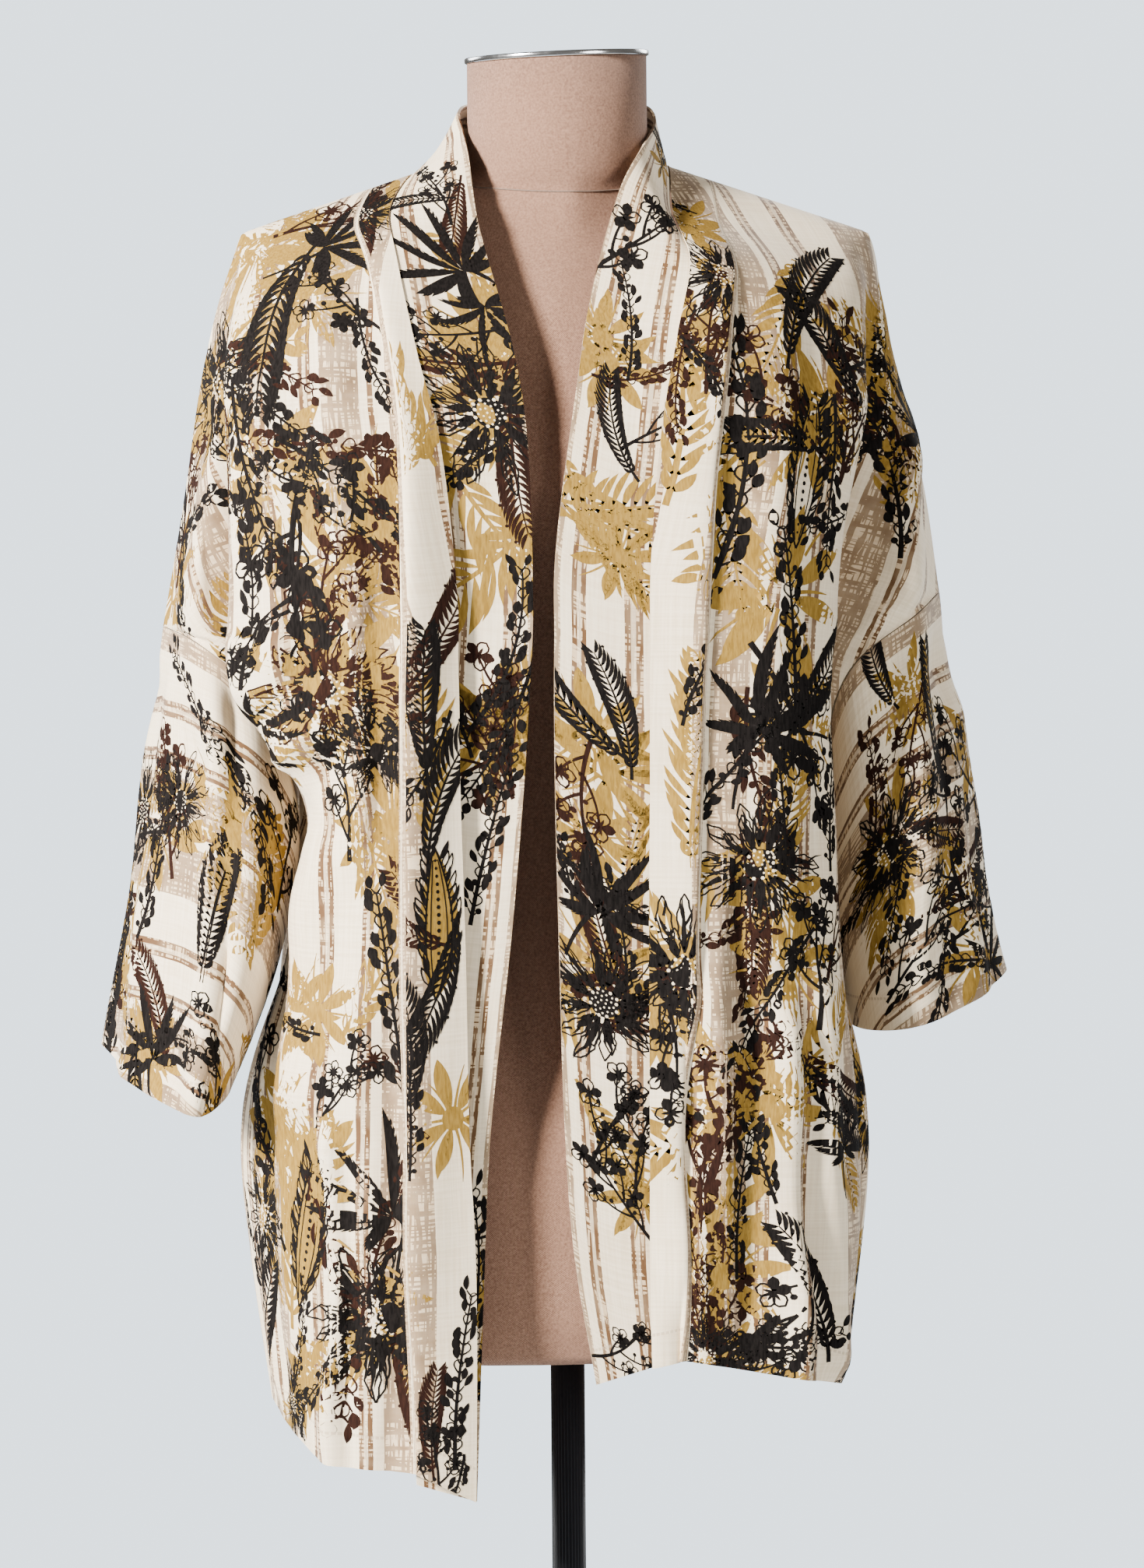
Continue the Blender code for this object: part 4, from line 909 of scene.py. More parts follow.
def petal(heading, start, length, width, rng, fill, ink):
    """A pointed petal: its edge, a dark flame from its foot, and short hooks beside it."""
    path = bend(polar(start, heading), heading + rng.uniform(-0.14, 0.14), length, rng.uniform(-0.6, 0.6), 10)
    widths = leaf_widths(10, width, 0.62) * (1 + 0.16 * np.sin(np.arange(10) * 2.4 + rng.uniform(0, 6)))
    parts = ribbon(path, widths, fill, 2) if fill is not None else []
    parts += outline(path, widths, 0.55, ink)
    reach = rng.integers(4, 9)
    parts += ribbon(path[:reach], leaf_widths(reach, width * rng.uniform(0.35, 0.7), 0.35), ink)
    for side in (-1, -1, 1, 1):
        hook = bend(path[rng.integers(2, 7)], heading + side * rng.uniform(0.2, 0.55),
                    length * rng.uniform(0.22, 0.42), -side * 0.5, 4)
        parts += ribbon(hook, (0.95, 0.8, 0.5, 0.08), ink)
    return parts


def aster(rng, fill=None, ink=INK):
    """A many-petalled daisy with a dotted middle, 100 mm across before it is sized."""
    parts = []
    for count, start, length, width in ((14, 12, 37, 4.4), (9, 9, 25, 4.0)):
        turn = rng.uniform(0, 6)
        for i in range(count):
            heading = turn + 2 * np.pi * i / count + rng.uniform(-0.12, 0.12)
            parts += petal(heading, start, length * rng.uniform(0.78, 1.2), width, rng, fill, ink)
    parts += dot((0, 0), 10.5, ink, 14)
    for i in range(30):
        parts += dot(polar(10.4 * math.sqrt((i + 0.5) / 30), i * 2.4), 0.75 + 0.5 * (i > 20), LIGHT, 6)
    return parts


def bloom(rng):
    """The plain gold shadow of a flower, with a gap left along each petal."""
    parts = []
    for i in range(7):
        heading = 2 * np.pi * i / 7 + rng.uniform(-0.15, 0.15)
        for side in (-1, 1):
            parts += leaf(polar(6, heading), heading + side * 0.16, rng.uniform(34, 44), -side * 0.35, 9,
                          rng.uniform(3.2, 5.4), 0.55, GOLD, 2)
        aside = heading + 0.45
        between = bend(polar(8, aside), aside, rng.uniform(20, 46), rng.uniform(-0.5, 0.5), 6)
        parts += ribbon(between, (1.2, 1.0, 0.9, 0.8, 0.6, 0.2), GOLD)
    return parts + dot((0, 0), 9, GOLD, 14)


def plume(rng):
    """A gold feathered leaf: a stem with long curved barbs close together."""
    stem, parts = stalk((0, -50), UP + rng.uniform(-0.1, 0.1), 100, rng.uniform(-0.5, 0.5), 17,
                        1.6, 0.4, GOLD)
    for i in range(1, 16):
        for side in (-1, 1):
            length = 30 * math.sin(np.pi * (i + 1.5) / 19) * rng.uniform(0.8, 1.15)
            parts += leaf(stem[i], UP - side * rng.uniform(0.75, 1.0), length, side * 0.55, 7,
                          rng.uniform(1.5, 2.6), 0.5, GOLD)
    return parts


def barbed(path, widths, side, rng, ink):
    """A long leaf with small hooks along one edge."""
    parts = ribbon(path, widths, ink, 2)
    for i in range(2, len(path) - 2):
        way = path[i + 1] - path[i]
        edge = path[i] + 0.7 * widths[i] * np.array((side * way[1], -side * way[0])) / np.hypot(*way)
        heading = heading_of(way) - side * rng.uniform(0.35, 0.6)
        hook = bend(edge, heading, widths[i] * 1.5 + 1.2, side * 0.5, 4)
        parts += ribbon(hook, (1.0, 0.8, 0.5, 0.05), ink)
    return parts


def palmate(rng, ink=INK):
    """A hand-shaped leaf with long hooked fingers, on a stalk."""
    parts = stalk((0, -56), UP + 0.25, 48, -0.4, 8, 0.9, 1.7, ink)[1]
    for degrees, longest in FINGERS:
        length = longest * rng.uniform(0.85, 1.15)
        heading = np.radians(degrees) + rng.uniform(-0.1, 0.1)
        path = bend((0, -9), heading, length, rng.uniform(-0.75, 0.75), 13)
        side = 1 if rng.uniform() < 0.5 else -1
        parts += barbed(path, leaf_widths(13, rng.uniform(2.7, 4.0), 0.42), side, rng, ink)
    return parts


def sprig(rng, ink=INK):
    """A curving stem with small leaves in pairs, curled tendrils and a few berries."""
    stem, parts = stalk((0, -52), UP + rng.uniform(-0.3, 0.3), 108, rng.uniform(-0.8, 0.8), 19, 1.4, 0.5, ink)
    for i in range(1, 19):
        heading = heading_of(stem[i] - stem[i - 1])
        for side in (-1, 1):
            kind = (i + side) % 5
            foot = bend(stem[i], heading - side * rng.uniform(0.7, 1.1), rng.uniform(3, 6), 0.3 * side, 3)
            parts += ribbon(foot, (0.6, 0.5, 0.4), ink)
            if kind == 0:
                parts += dot(foot[-1], rng.uniform(1.5, 2.3), ink)
            elif kind == 1:
                parts += stalk(foot[-1], heading - side * 0.3, 13, side * 4.6, 10, 0.5, 0.25, ink)[1]
            else:
                turn = heading - side * rng.uniform(0.2, 0.9)
                parts += leaf(foot[-1], turn, rng.uniform(7, 12), 0.5 * side, 7,
                              rng.uniform(1.9, 3.0), 0.5, ink)
    return parts


def spray(rng, ink=INK):
    """Branching twigs with little open flowers, some petals dark, and buds and berries."""
    stem, parts = stalk((0, -50), UP, 76, rng.uniform(-0.6, 0.6), 12, 1.6, 0.8, ink)
    tips = [stem[-1]]
    for i in (2, 4, 6, 8, 10):
        side = 1 if i % 4 else -1
        twig, line = stalk(stem[i], UP - side * rng.uniform(0.4, 1.0), rng.uniform(24, 40), side * 0.5, 8,
                           1.1, 0.6, ink)
        parts += line
        tips.append(twig[-1])
        for place in (3, 5):
            reach = bend(twig[place], UP + side * rng.uniform(0.2, 0.9), rng.uniform(6, 10), 0.4, 4)
            parts += ribbon(reach, (0.5, 0.45, 0.4, 0.4), ink) + dot(reach[-1], rng.uniform(1.6, 2.4), ink)
    widths = leaf_widths(6, 4.0, 0.65)
    for tip in tips:
        turn = rng.uniform(0, 6)
        for i in range(5):
            path = bend(tip, turn + 2 * np.pi * i / 5, 10.5, 0.15, 6)
            if rng.uniform() < 0.4:
                parts += ribbon(path, widths * 0.9, ink)
            else:
                parts += outline(path, widths, 0.6, ink) + ribbon(path[:4], (0.4, 1.0, 0.8, 0.1), ink)
        parts += dot(tip, 2.0, ink)
    return parts


def fern(rng, ink=INK):
    """A fern frond of curled leaflets, some tipped with dots."""
    stem, parts = stalk((0, -50), UP + rng.uniform(-0.2, 0.2), 100, rng.uniform(-0.8, 0.8), 21, 1.3, 0.4, ink)
    for i in range(2, 21):
        heading = heading_of(stem[i] - stem[i - 1])
        for side in (-1, 1):
            path = bend(stem[i], heading - side * 0.9, 20 * math.sin(np.pi * i / 23) + 4, side * 0.9, 6)
            parts += ribbon(path, leaf_widths(6, 1.5, 0.4), ink)
            if i % 3 == 0:
                parts += dot(path[-1], 1.2, ink, 6)
    return parts


def paisley(rng, ink=INK):
    """A tall pointed leaf with jagged leaflets round it, drawn twice round, beads along its middle."""
    path = bend((0, -48), UP + 0.12, 98, -0.24, 21)
    widths = leaf_widths(21, 10, 0.42)
    parts = ribbon(path, widths * 1.5, GOLD, 5) if rng.uniform() < 0.6 else []
    parts += outline(path, widths, 0.7, ink)
    parts += outline(path[1:-2], widths[1:-2] * 0.6, 0.45, ink)
    for i in range(2, 19):
        parts += dot(path[i], 0.6 + 0.9 * math.sin(np.pi * i / 21), ink, 6)
        for side in (-1, 1):
            edge = path[i] + np.array((side * widths[i] * 0.9, 0))
            leaflet = bend(edge, UP - side * rng.uniform(0.5, 0.8), rng.uniform(11, 17), side * 0.5, 6)
            body = leaf_widths(6, rng.uniform(1.6, 2.4), 0.45)
            parts += ribbon(leaflet, body, ink) if i % 3 == 0 else outline(leaflet, body, 0.5, ink)
    return parts


def brown_aster(rng):
    return aster(rng, GOLD, BROWN)


def brown_spray(rng):
    return sprig(rng, BROWN) + spray(rng, BROWN)


def beside(parts, reach, rng):
    """A motif turned any way and moved aside."""
    turn = rng.uniform(0, 2 * np.pi)
    move = polar(reach, turn + 1.2)
    return [(turned(shape, turn) + move, faces, ink) for shape, faces, ink in parts]


def posy(rng):
    """A flower over what grows round it: gold shadows, dark red twigs and a black stem."""
    parts = beside(plume(rng), 34, rng) + beside(bloom(rng), 26, rng)
    parts += beside(sprig(rng, BROWN), 40, rng) + beside(sprig(rng), 44, rng)
    parts += beside(fern(rng, BROWN), 30, rng)
    return parts + aster(rng)


DRAWN = {
    "aster": aster, "bloom": bloom, "plume": plume, "palmate": palmate, "sprig": sprig, "spray": spray,
    "fern": fern, "paisley": paisley, "brown aster": brown_aster, "brown spray": brown_spray, "posy": posy,
}


def accompanied(motif, number):
    """A motif with what is printed under and beside it, by its number in the table."""
    rng = np.random.default_rng(number + FIRST_SEED)
    parts = beside((plume, bloom)[number % 2](rng), 22, rng) if number % 3 else []
    parts += beside((fern, sprig, spray)[number % 3](rng, BROWN), 38, rng) if number % 4 == 1 else []
    parts += DRAWN[motif](rng)
    if number % 2:
        parts += beside((sprig, spray, fern, sprig)[number // 2 % 4](rng), 46, rng)
    return parts


def cut_surface(grid, normals, flat, gap_column):
    """The cut to draw on: its spots, its triangles, where they lie on the cloth, and a tree to find them."""
    rows, columns = flat.shape[:2]
    keep = np.ones(columns - 1, bool)
    if gap_column is not None:
        keep[gap_column:gap_column + FINE] = False
    quads = quads_of(numbered(flat.shape))[:, keep].reshape(-1, 4)
    corners = np.concatenate([quads[:, (0, 1, 2)], quads[:, (0, 2, 3)]])
    spots = flat.reshape(-1, 2)
    wide = grid.shape[1]
    real = (np.arange(rows)[:, None] * wide + np.arange(columns)[None, :] % wide).reshape(-1)
    tree = BVHTree.FromPolygons([(a, b, 0) for a, b in spots.tolist()], corners.tolist())
    return spots, corners, grid.reshape(-1, 3)[real], normals.reshape(-1, 3)[real], tree


def laid(drawn, surface, lifted):
    """Drawn points laid on the cloth: their places, the ways off it there, and which lie within the cut."""
    spots, corners, points, away, tree = surface
    found, inside = [], []
    for x, y in drawn.tolist():
        hit = tree.ray_cast((x, y, 1), (0, 0, -1))
        inside.append(hit[0] is not None)
        if hit[0] is None:
            hit = tree.find_nearest((x, y, 0))
        found.append((hit[2], hit[0][0], hit[0][1]))
    found = np.array(found)
    corner = corners[found[:, 0].astype(int)]
    a, b, c = (spots[corner[:, i]] for i in range(3))
    u, v, w = b - a, c - a, found[:, 1:] - a
    second, third = crossed(w, v) / crossed(u, v), crossed(u, w) / crossed(u, v)
    share = np.stack([1 - second - third, second, third], axis=1)[:, :, None]
    off_face = (away[corner] * share).sum(axis=1)
    return (points[corner] * share).sum(axis=1) + off_face * lifted, off_face, inside


def printed(panel, side, grid, normals, flat, wall, gap_column, materials):
    """The panel's motifs, drawn on its flat cut and then laid on its outer face, cut off where it ends."""
    surface = cut_surface(grid, normals, flat, gap_column)
    spots, _, points, away, _ = surface
    all_points, all_faces, all_inks = [], [], []
    total = 0
    for number, (where, view, motif, x, z, size, turn) in enumerate(listed(MOTIFS)):
        if where != panel:
            continue
        across, facing = seen_from(view, side, points, away)
        off = np.hypot(across - x, points[:, 2] / MM - z) + np.where(facing < LEAST_FACING, TURNED_AWAY, 0)
        middle = spots[np.argmin(off)]
        lean = math.radians(turn * side * (-1 if view == "front" else 1))
        for shape, faces, ink in accompanied(motif, number):
            drawn = middle + turned(shape * size / 100 * MM, lean)
            lying, off_face, inside = laid(drawn, surface, INK_HEIGHT[ink] + wall)
            if not any(inside):
                continue
            all_points.append(lying)
            for face in faces:
                if not any(inside[i] for i in face):
                    continue
                first, following, last = lying[face[0]], lying[face[1]], lying[face[-1]]
                inwards = np.dot(np.cross(following - first, last - first), off_face[face[0]]) < 0
                all_faces.append([total + i for i in (face[::-1] if inwards else face)])
                all_inks.append(ink)
            total += len(lying)
    mesh = bpy.data.meshes.new(panel + "_print")
    mesh.from_pydata(np.concatenate(all_points).tolist(), [], all_faces)
    for material in materials:
        mesh.materials.append(material)
    mesh.polygons.foreach_set("material_index", all_inks)
    mesh.shade_smooth()
    return added(panel + "_print", mesh)


def new_material(name):
    """A new material, its node tree and its shader."""
    material = bpy.data.materials.new(name)
    material.use_nodes = True
    tree = material.node_tree
    return material, tree, tree.nodes["Principled BSDF"]


def object_place(tree):
    return tree.nodes.new("ShaderNodeTexCoord").outputs["Object"]


def set_inputs(node, values):
    """Constants on a node's inputs: each is a number or a tuple, or another node's output to link."""
    for name, given in values.items():
        socket = node.inputs[name]
        if isinstance(given, (int, float, tuple)):
            socket.default_value = given
        else:
            node.id_data.links.new(given, socket)


def value_of(operation, first, second=0.0):
    """A maths node on another node's output and a number or a second output."""
    node = first.id_data.nodes.new("ShaderNodeMath")
    node.operation = operation
    set_inputs(node, {0: first, 1: second})
    return node.outputs[0]


def ramp(given, stops, step=False):
    """A colour ramp through (place, colour) stops."""
    node = given.id_data.nodes.new("ShaderNodeValToRGB")
    set_inputs(node, {"Fac": given})
    if step:
        node.color_ramp.interpolation = "CONSTANT"
    while len(node.color_ramp.elements) < len(stops):
        node.color_ramp.elements.new(0.5)
    for element, (place, colour) in zip(node.color_ramp.elements, stops):
        element.position = place
        element.color = colour
    return node.outputs["Color"]


def grey(level):
    return (level, level, level, 1)


def rising(given, low, high, full=1):
    """Black up to one level of what is given, and a grey from another level on."""
    return ramp(given, [(low, grey(0)), (high, grey(full))])


def noise(vector, scale, stretch=(1, 1, 1), detail=2.0, roughness=0.5):
    nodes = vector.id_data.nodes
    mapping = nodes.new("ShaderNodeMapping")
    set_inputs(mapping, {"Scale": stretch, "Vector": vector})
    node = nodes.new("ShaderNodeTexNoise")
    set_inputs(node, {"Vector": mapping.outputs["Vector"], "Scale": scale, "Detail": detail,
                      "Roughness": roughness})
    return node.outputs["Fac"]


def mixed(tree, share, first, second):
    """Two colours mixed: each is a tuple or another node's output."""
    node = tree.nodes.new("ShaderNodeMix")
    node.data_type = "RGBA"
    places = {socket.identifier: number for number, socket in enumerate(node.inputs)}
    set_inputs(node, {places["Factor_Float"]: share, places["A_Color"]: first, places["B_Color"]: second})
    return next(socket for socket in node.outputs if socket.identifier == "Result_Color")


def bumped(shader, height, distance, strength):
    node = shader.id_data.nodes.new("ShaderNodeBump")
    set_inputs(node, {"Distance": distance, "Strength": strength, "Height": height})
    set_inputs(shader, {"Normal": node.outputs["Normal"]})


def cloth_material(name, stripes_along, shift):
    """Slubbed viscose-linen with hatched tan stripes; from_hem gives the line of stitches by the hem."""
    material, tree, shader = new_material(name)
    cut = tree.nodes.new("ShaderNodeUVMap")
    cut.uv_map = "UVMap"
    cut = cut.outputs["UV"]
    split = tree.nodes.new("ShaderNodeSeparateXYZ")
    tree.links.new(cut, split.inputs[0])
    across = split.outputs[stripes_along]
    far, cross = ((1, 0.08, 1), (0.08, 1, 1)) if stripes_along == 0 else ((0.08, 1, 1), (1, 0.08, 1))

    moved = value_of("ADD", across, value_of("MULTIPLY", noise(cut, 9, detail=3), 0.004))
    place = value_of("FRACT", value_of("DIVIDE", value_of("ADD", moved, shift), STRIPE_REPEAT))
    stripe = ramp(place, [(at, grey(level)) for at, level in STRIPES], step=True)
    strokes = value_of("GREATER_THAN", noise(cut, 520, far, 1), 0.485)
    bars = value_of("GREATER_THAN", noise(cut, 460, cross, 1), 0.51)
    hatch = value_of("MAXIMUM", strokes, bars)
    wear = value_of("ADD", noise(cut, 55, detail=3), 0.45)
    share = value_of("MULTIPLY", value_of("MULTIPLY", stripe, hatch), wear)

    slub = value_of("ADD", noise(cut, 620, (1, 0.035, 1), 2), noise(cut, 560, (0.035, 1, 1), 2))
    thread = value_of("MULTIPLY", slub, 0.5)
    ground = mixed(tree, rising(thread, 0.40, 0.60), GROUND_DEEP, GROUND)
    tone = mixed(tree, rising(noise(cut, 7), 0.35, 0.65, 0.5), ground, GROUND_PALE)
    tinted = mixed(tree, value_of("MULTIPLY", stripe, 0.62), tone, STRIPE_TINT)
    colour = mixed(tree, share, tinted, HATCH)

    hem = tree.nodes.new("ShaderNodeAttribute")
    hem.attribute_name = "from_hem"
    near = value_of("ABSOLUTE", value_of("SUBTRACT", hem.outputs["Fac"], STITCHES_ABOVE_HEM))
    groove = value_of("LESS_THAN", near, GROOVE_HALF_WIDTH)
    run = value_of("FRACT", value_of("DIVIDE", split.outputs[0], STITCH_LENGTH))
    stitch = value_of("MULTIPLY", groove, value_of("GREATER_THAN", run, 0.28))
    colour = mixed(tree, value_of("MULTIPLY", stitch, 0.55), colour, STITCH_COLOUR)
    bumped(shader, value_of("SUBTRACT", thread, value_of("MULTIPLY", groove, 0.8)), 0.00035, 0.55)
    set_inputs(shader, {"Base Color": colour, "Roughness": 0.82, "Specular IOR Level": 0.3,
                        "Sheen Weight": 0.22, "Sheen Roughness": 0.45})
    return material


def ink_material(name, colour, deep):
    """Ink soaked into the cloth: its colour breaks a little where threads cross."""
    material, tree, shader = new_material(name)
    thread = noise(object_place(tree), 700, (1, 1, 0.2), 2)
    bumped(shader, thread, 0.0002, 0.4)
    set_inputs(shader, {"Base Color": mixed(tree, rising(thread, 0.38, 0.62), colour, deep),
                        "Roughness": 0.85, "Specular IOR Level": 0.06})
    return material


def linen_material():
    """The form's cover: a plain weave of pinkish-beige and darker threads, a millimetre apart."""
    material, tree, shader = new_material("form linen")
    place = object_place(tree)
    split = tree.nodes.new("ShaderNodeSeparateXYZ")
    tree.links.new(place, split.inputs[0])
    x, y, z = split.outputs
    pick = value_of("SINE", value_of("MULTIPLY", value_of("ARCTAN2", y, x), 720.0))
    row = value_of("SINE", value_of("MULTIPLY", z, 4600.0))
    weave = value_of("MULTIPLY", value_of("MULTIPLY", pick, row), 0.42)
    thread = value_of("ADD", weave, noise(place, 760, detail=2))
    soft = mixed(tree, 0.15, ramp(thread, LINEN_THREADS), (0.22, 0.12, 0.08, 1))
    colour = mixed(tree, rising(noise(place, 11), 0.3, 0.7, 0.35), soft, (0.19, 0.098, 0.062, 1))
    bumped(shader, thread, 0.0003, 0.5)
    set_inputs(shader, {"Base Color": colour, "Roughness": 0.9, "Specular IOR Level": 0.25,
                        "Sheen Weight": 0.15})
    return material


def metal_material(name, light, dark, roughness, metallic, shine, scale, stretch):
    """Metal with fine handling marks, in its colour and its gloss."""
    material, tree, shader = new_material(name)
    marks = noise(object_place(tree), scale, stretch, 4, 0.65)
    bumped(shader, marks, 0.00008, 0.35)
    set_inputs(shader, {"Base Color": mixed(tree, rising(marks, 0.35, 0.7), light, dark),
                        "Roughness": ramp(marks, [(0.3, grey(roughness)), (0.75, grey(roughness + 0.16))]),
                        "Metallic": metallic, "Specular IOR Level": shine})
    return material


def cad_tree(name):
    """A solid's surface, to find what lies near it."""
    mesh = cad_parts[name].data
    mesh.calc_loop_triangles()
    triangles = [triangle.vertices[:] for triangle in mesh.loop_triangles]
    return BVHTree.FromPolygons([vertex.co[:] for vertex in mesh.vertices], triangles)


def kept_clear(grid, normals, trees):
    """The grid, moved off whatever lies under it where it sinks in or comes closer than the gap."""
    points, away = grid.reshape(-1, 3).copy(), normals.reshape(-1, 3)
    for point, way in zip(points, away):
        for tree in trees:
            hit, facing, _, depth = tree.ray_cast(Vector(point), Vector(way), DEEPEST_SINK)
            if hit is not None and facing.dot(Vector(way)) > 0:
                point += way * (depth + UNDER_GAP)
                continue
            near, _, _, distance = tree.find_nearest(Vector(point), UNDER_GAP)
            if near is not None:
                point += way * (UNDER_GAP - distance)
    return points.reshape(grid.shape)


def finish_panel(name, side, outwards, grid, flat, hold, cloth, inks, wall=CLOTH, seed=None, under=(),
                 closed=False, gap_column=None):
    """A panel of cloth, creased and rippled and kept clear of what is under it, and the print on it."""
    normals = normals_of(grid, outwards, closed)
    grid = creased(grid, normals, name, side, hold)
    if seed is not None:
        grid = rippled(grid, normals, hold, seed)
        normals = normals_of(grid, outwards, closed)
    grid = kept_clear(grid, normals, under)
    made = shell(name + "_cloth", grid, normals, flat, wall, cloth, outwards, closed)
    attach(made, "root")
    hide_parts(name)
    print_of = printed(name, side, grid, normals, flat, wall, gap_column, inks)
    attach(print_of, "root")


def build_cloth():
    form = cad_tree("dress_form")
    cloth = cloth_material("striped cloth", 0, 0.022)
    ringed = cloth_material("sleeve cloth", 1, 0.062)
    banded = cloth_material("band cloth", 0, 0.118)
    inks = [ink_material(*look) for look in INKS]

    for side, word in ((1, "left"), (-1, "right")):
        band = word + "_neckband"
        grid = shifted_inwards(band_grid(side), ("top",), SEAM_GAP / 2)
        finish_panel(band, side, side, grid, unrolled(grid), held(grid.shape, BAND_HELD), banded, inks, BAND)

        grid = shifted_inwards(front_grid(side), ("top", "last"), SEAM_GAP / 2)
        flat = with_pleat(spread_out(grid, row_of(ARMHOLE_ROW) // FINE))
        finish_panel(word + "_front", side, side, grid, flat, held(grid.shape, HELD), cloth, inks,
                     seed=1.3 + side, under=(form, cad_tree(band)), gap_column=FRONT_STRIPS[0])

        grid = shifted_inwards(sleeve_grid(side), ("top",), ARMHOLE_GAP)
        grid = np.roll(grid, grid.shape[1] // 2, axis=1)
        flat = unrolled(np.concatenate([grid, grid[:, :1]], axis=1))
        inner = np.clip(1 + 1.4 * normals_of(grid, -side, closed=True)[:, :, 0] * side, 0.15, 1)
        finish_panel(word + "_sleeve", side, -side, grid, flat, held(grid.shape, HELD, closed=True) * inner,
                     ringed, inks, seed=4.1 + side, closed=True)

    left, right = back_grid(1), back_grid(-1)
    flat_left, flat_right = spread_out(left, 0), spread_out(right, 0) * (-1, 1)
    grid = np.concatenate([right[:, ::-1], left[:, 1:]], axis=1)
    flat = np.concatenate([flat_right[:, ::-1], flat_left[:, 1:]], axis=1)
    grid = shifted_inwards(grid, ("top", "first", "last"), SEAM_GAP / 2)
    finish_panel("back", 1, -1, grid, flat, held(grid.shape, HELD), cloth, inks, seed=7.7, under=(form,))


def build_form_looks():
    """The linen, the plate and the stand: the solids' own shapes, shaded round."""
    looks = [("dress_form", "form_linen", linen_material())]
    looks += [(node, slot, metal_material(*look)) for node, slot, *look in METALS]
    for node, slot, material in looks:
        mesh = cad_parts[node].data.copy()
        shape = bmesh.new()
        shape.from_mesh(mesh)
        bmesh.ops.remove_doubles(shape, verts=shape.verts, dist=SAME_POINT)
        shape.to_mesh(mesh)
        shape.free()
        mesh.shade_smooth()
        mesh.set_sharp_from_angle(angle=math.radians(FORM_SHARP_FROM))
        mesh.materials.clear()
        mesh.materials.append(material)
        made = added(node + "_smooth", mesh)
        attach(made, "root")
        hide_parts(node)


def build_neck_seam():
    """The seam that joins the neck's cover to the shoulders': a thin cord half sunk in the form."""
    form = cad_tree("dress_form")
    path = []
    for i in range(CORD_POINTS):
        angle = 2 * math.pi * i / CORD_POINTS
        ahead = -math.sin(angle)
        height = CORD_HEIGHT - 0.0065 * max(0.0, ahead) + 0.004 * max(0.0, -ahead)
        start = Vector((0.3 * math.cos(angle), 0.3 * math.sin(angle), height))
        hit = form.ray_cast(start, Vector((-math.cos(angle), -math.sin(angle), 0)))
        path.append(hit[0] + hit[1] * CORD_LIFT)
    shape = bmesh.new()
    rings = []
    for i, point in enumerate(path):
        way = (path[(i + 1) % CORD_POINTS] - path[i - 1]).normalized()
        out = way.cross(Vector((0, 0, 1))).normalized()
        up = out.cross(way)
        rings.append([shape.verts.new(point + (out * math.cos(a) + up * math.sin(a)) * CORD_RADIUS)
                      for a in (math.radians(60 * k) for k in range(6))])
    for i, here in enumerate(rings):
        then = rings[(i + 1) % CORD_POINTS]
        for k in range(6):
            shape.faces.new((here[k], here[(k + 1) % 6], then[(k + 1) % 6], then[k]))
    bmesh.ops.recalc_face_normals(shape, faces=shape.faces)
    mesh = mesh_of("neck_seam", shape)
    mesh.shade_smooth()
    material, tree, shader = new_material("seam thread")
    twist = noise(object_place(tree), 900)
    set_inputs(shader, {"Base Color": mixed(tree, twist, (0.10, 0.065, 0.05, 1), (0.22, 0.15, 0.11, 1)),
                        "Roughness": 0.9})
    mesh.materials.append(material)
    made = added("neck_seam", mesh)
    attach(made, "root")


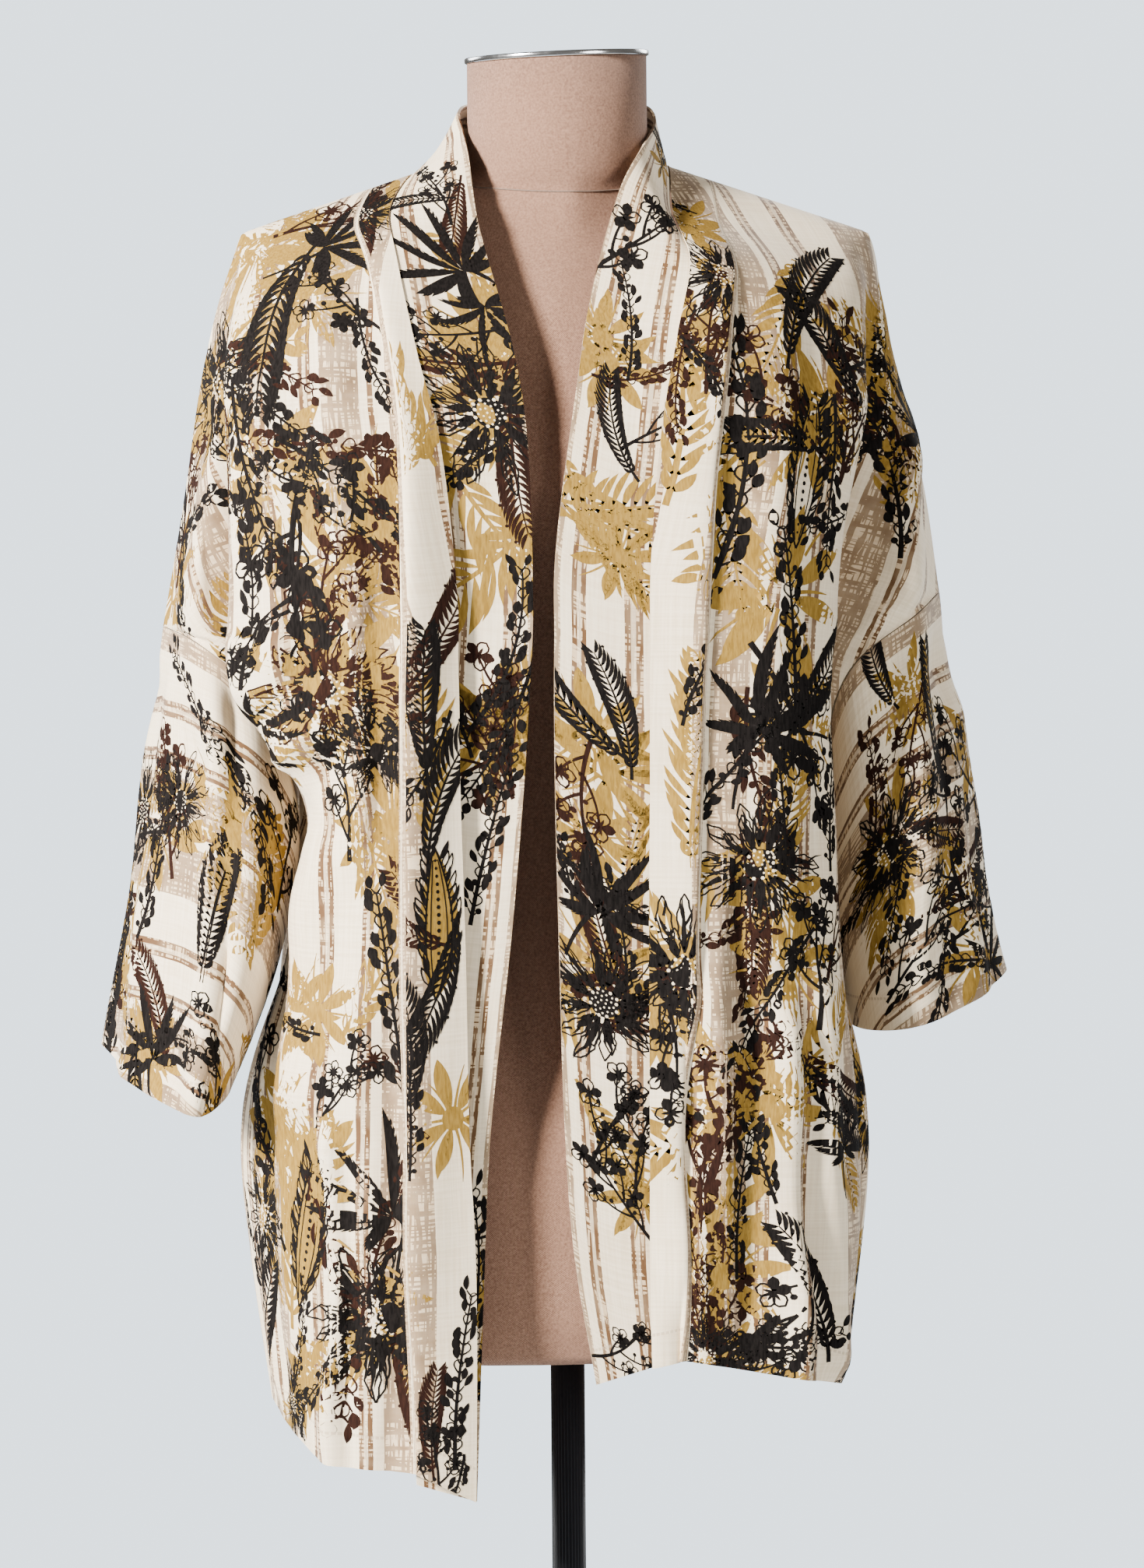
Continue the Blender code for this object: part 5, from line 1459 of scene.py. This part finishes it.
def build_stage():
    """A pale floor whose outer part glows with painted light, so that it runs into the pale lit backdrop, and
    soft lights from the front and behind.
    """
    shape = bmesh.new()
    bmesh.ops.create_circle(shape, cap_ends=True, segments=128, radius=FLOOR_RADIUS)
    mesh = mesh_of("floor", shape)
    floor = added("floor", mesh)
    material, tree, shader = new_material("floor")
    place = object_place(tree)
    far = tree.nodes.new("ShaderNodeVectorMath")
    far.operation = "LENGTH"
    tree.links.new(place, far.inputs[0])
    share = value_of("DIVIDE", far.outputs["Value"], FLOOR_RADIUS)
    glow_from = FLOOR_GLOW_FROM / FLOOR_RADIUS
    # Painted light: the floor glows more towards its rim, as bright as the backdrop, while its own colour
    # darkens there so that the glow sets its brightness.
    painted_glow = ramp(share, [(glow_from, grey(0)), (0.97, (0.79, 0.895, 0.985, 1))])
    tone = ramp(share, [(glow_from, (0.44, 0.47, 0.50, 1)), (0.97, grey(0.03))])
    set_inputs(shader, {"Base Color": mixed(tree, 0.03, tone, rising(noise(place, 6), 0.3, 0.7)),
                        "Emission Color": painted_glow, "Emission Strength": 2.5, "Roughness": 1.0,
                        "Specular IOR Level": 0.0})
    mesh.materials.append(material)

    world = bpy.data.worlds.new("room")
    world.use_nodes = True
    tree = world.node_tree
    path = tree.nodes.new("ShaderNodeLightPath")
    set_inputs(tree.nodes["Background"], {
        "Color": mixed(tree, path.outputs["Is Camera Ray"], ROOM_LIGHT, BACKDROP), "Strength": 1.0})
    bpy.context.scene.world = world

    for name, place, size, power, colour in LIGHTS:
        light = bpy.data.lights.new(name, "AREA")
        light.shape = "DISK"
        light.size = size
        light.energy = power
        light.color = colour
        made = added(name, light)
        made.location = place
        made.rotation_euler = (Vector(LIT) - Vector(place)).to_track_quat("-Z", "Y").to_euler()


def build_camera():
    camera = bpy.data.cameras.new("camera")
    camera.sensor_fit = "VERTICAL"
    camera.sensor_height = 24
    camera.lens = 100.1
    camera.clip_end = 100
    made = added("camera", camera)
    back = Vector((math.sin(CAMERA_AZIMUTH), -math.cos(CAMERA_AZIMUTH), 0))
    right = Vector((math.cos(CAMERA_AZIMUTH), math.sin(CAMERA_AZIMUTH), 0))
    made.location = back * CAMERA_DISTANCE + right * CAMERA_ASIDE + Vector((0, 0, CAMERA_HEIGHT))
    view = -back * math.cos(CAMERA_PITCH) - Vector((0, 0, math.sin(CAMERA_PITCH)))
    made.rotation_mode = "QUATERNION"
    made.rotation_quaternion = Quaternion(view, CAMERA_ROLL) @ view.to_track_quat("-Z", "Y")
    bpy.context.scene.camera = made


build_camera()
build_stage()
build_form_looks()
build_neck_seam()
build_cloth()
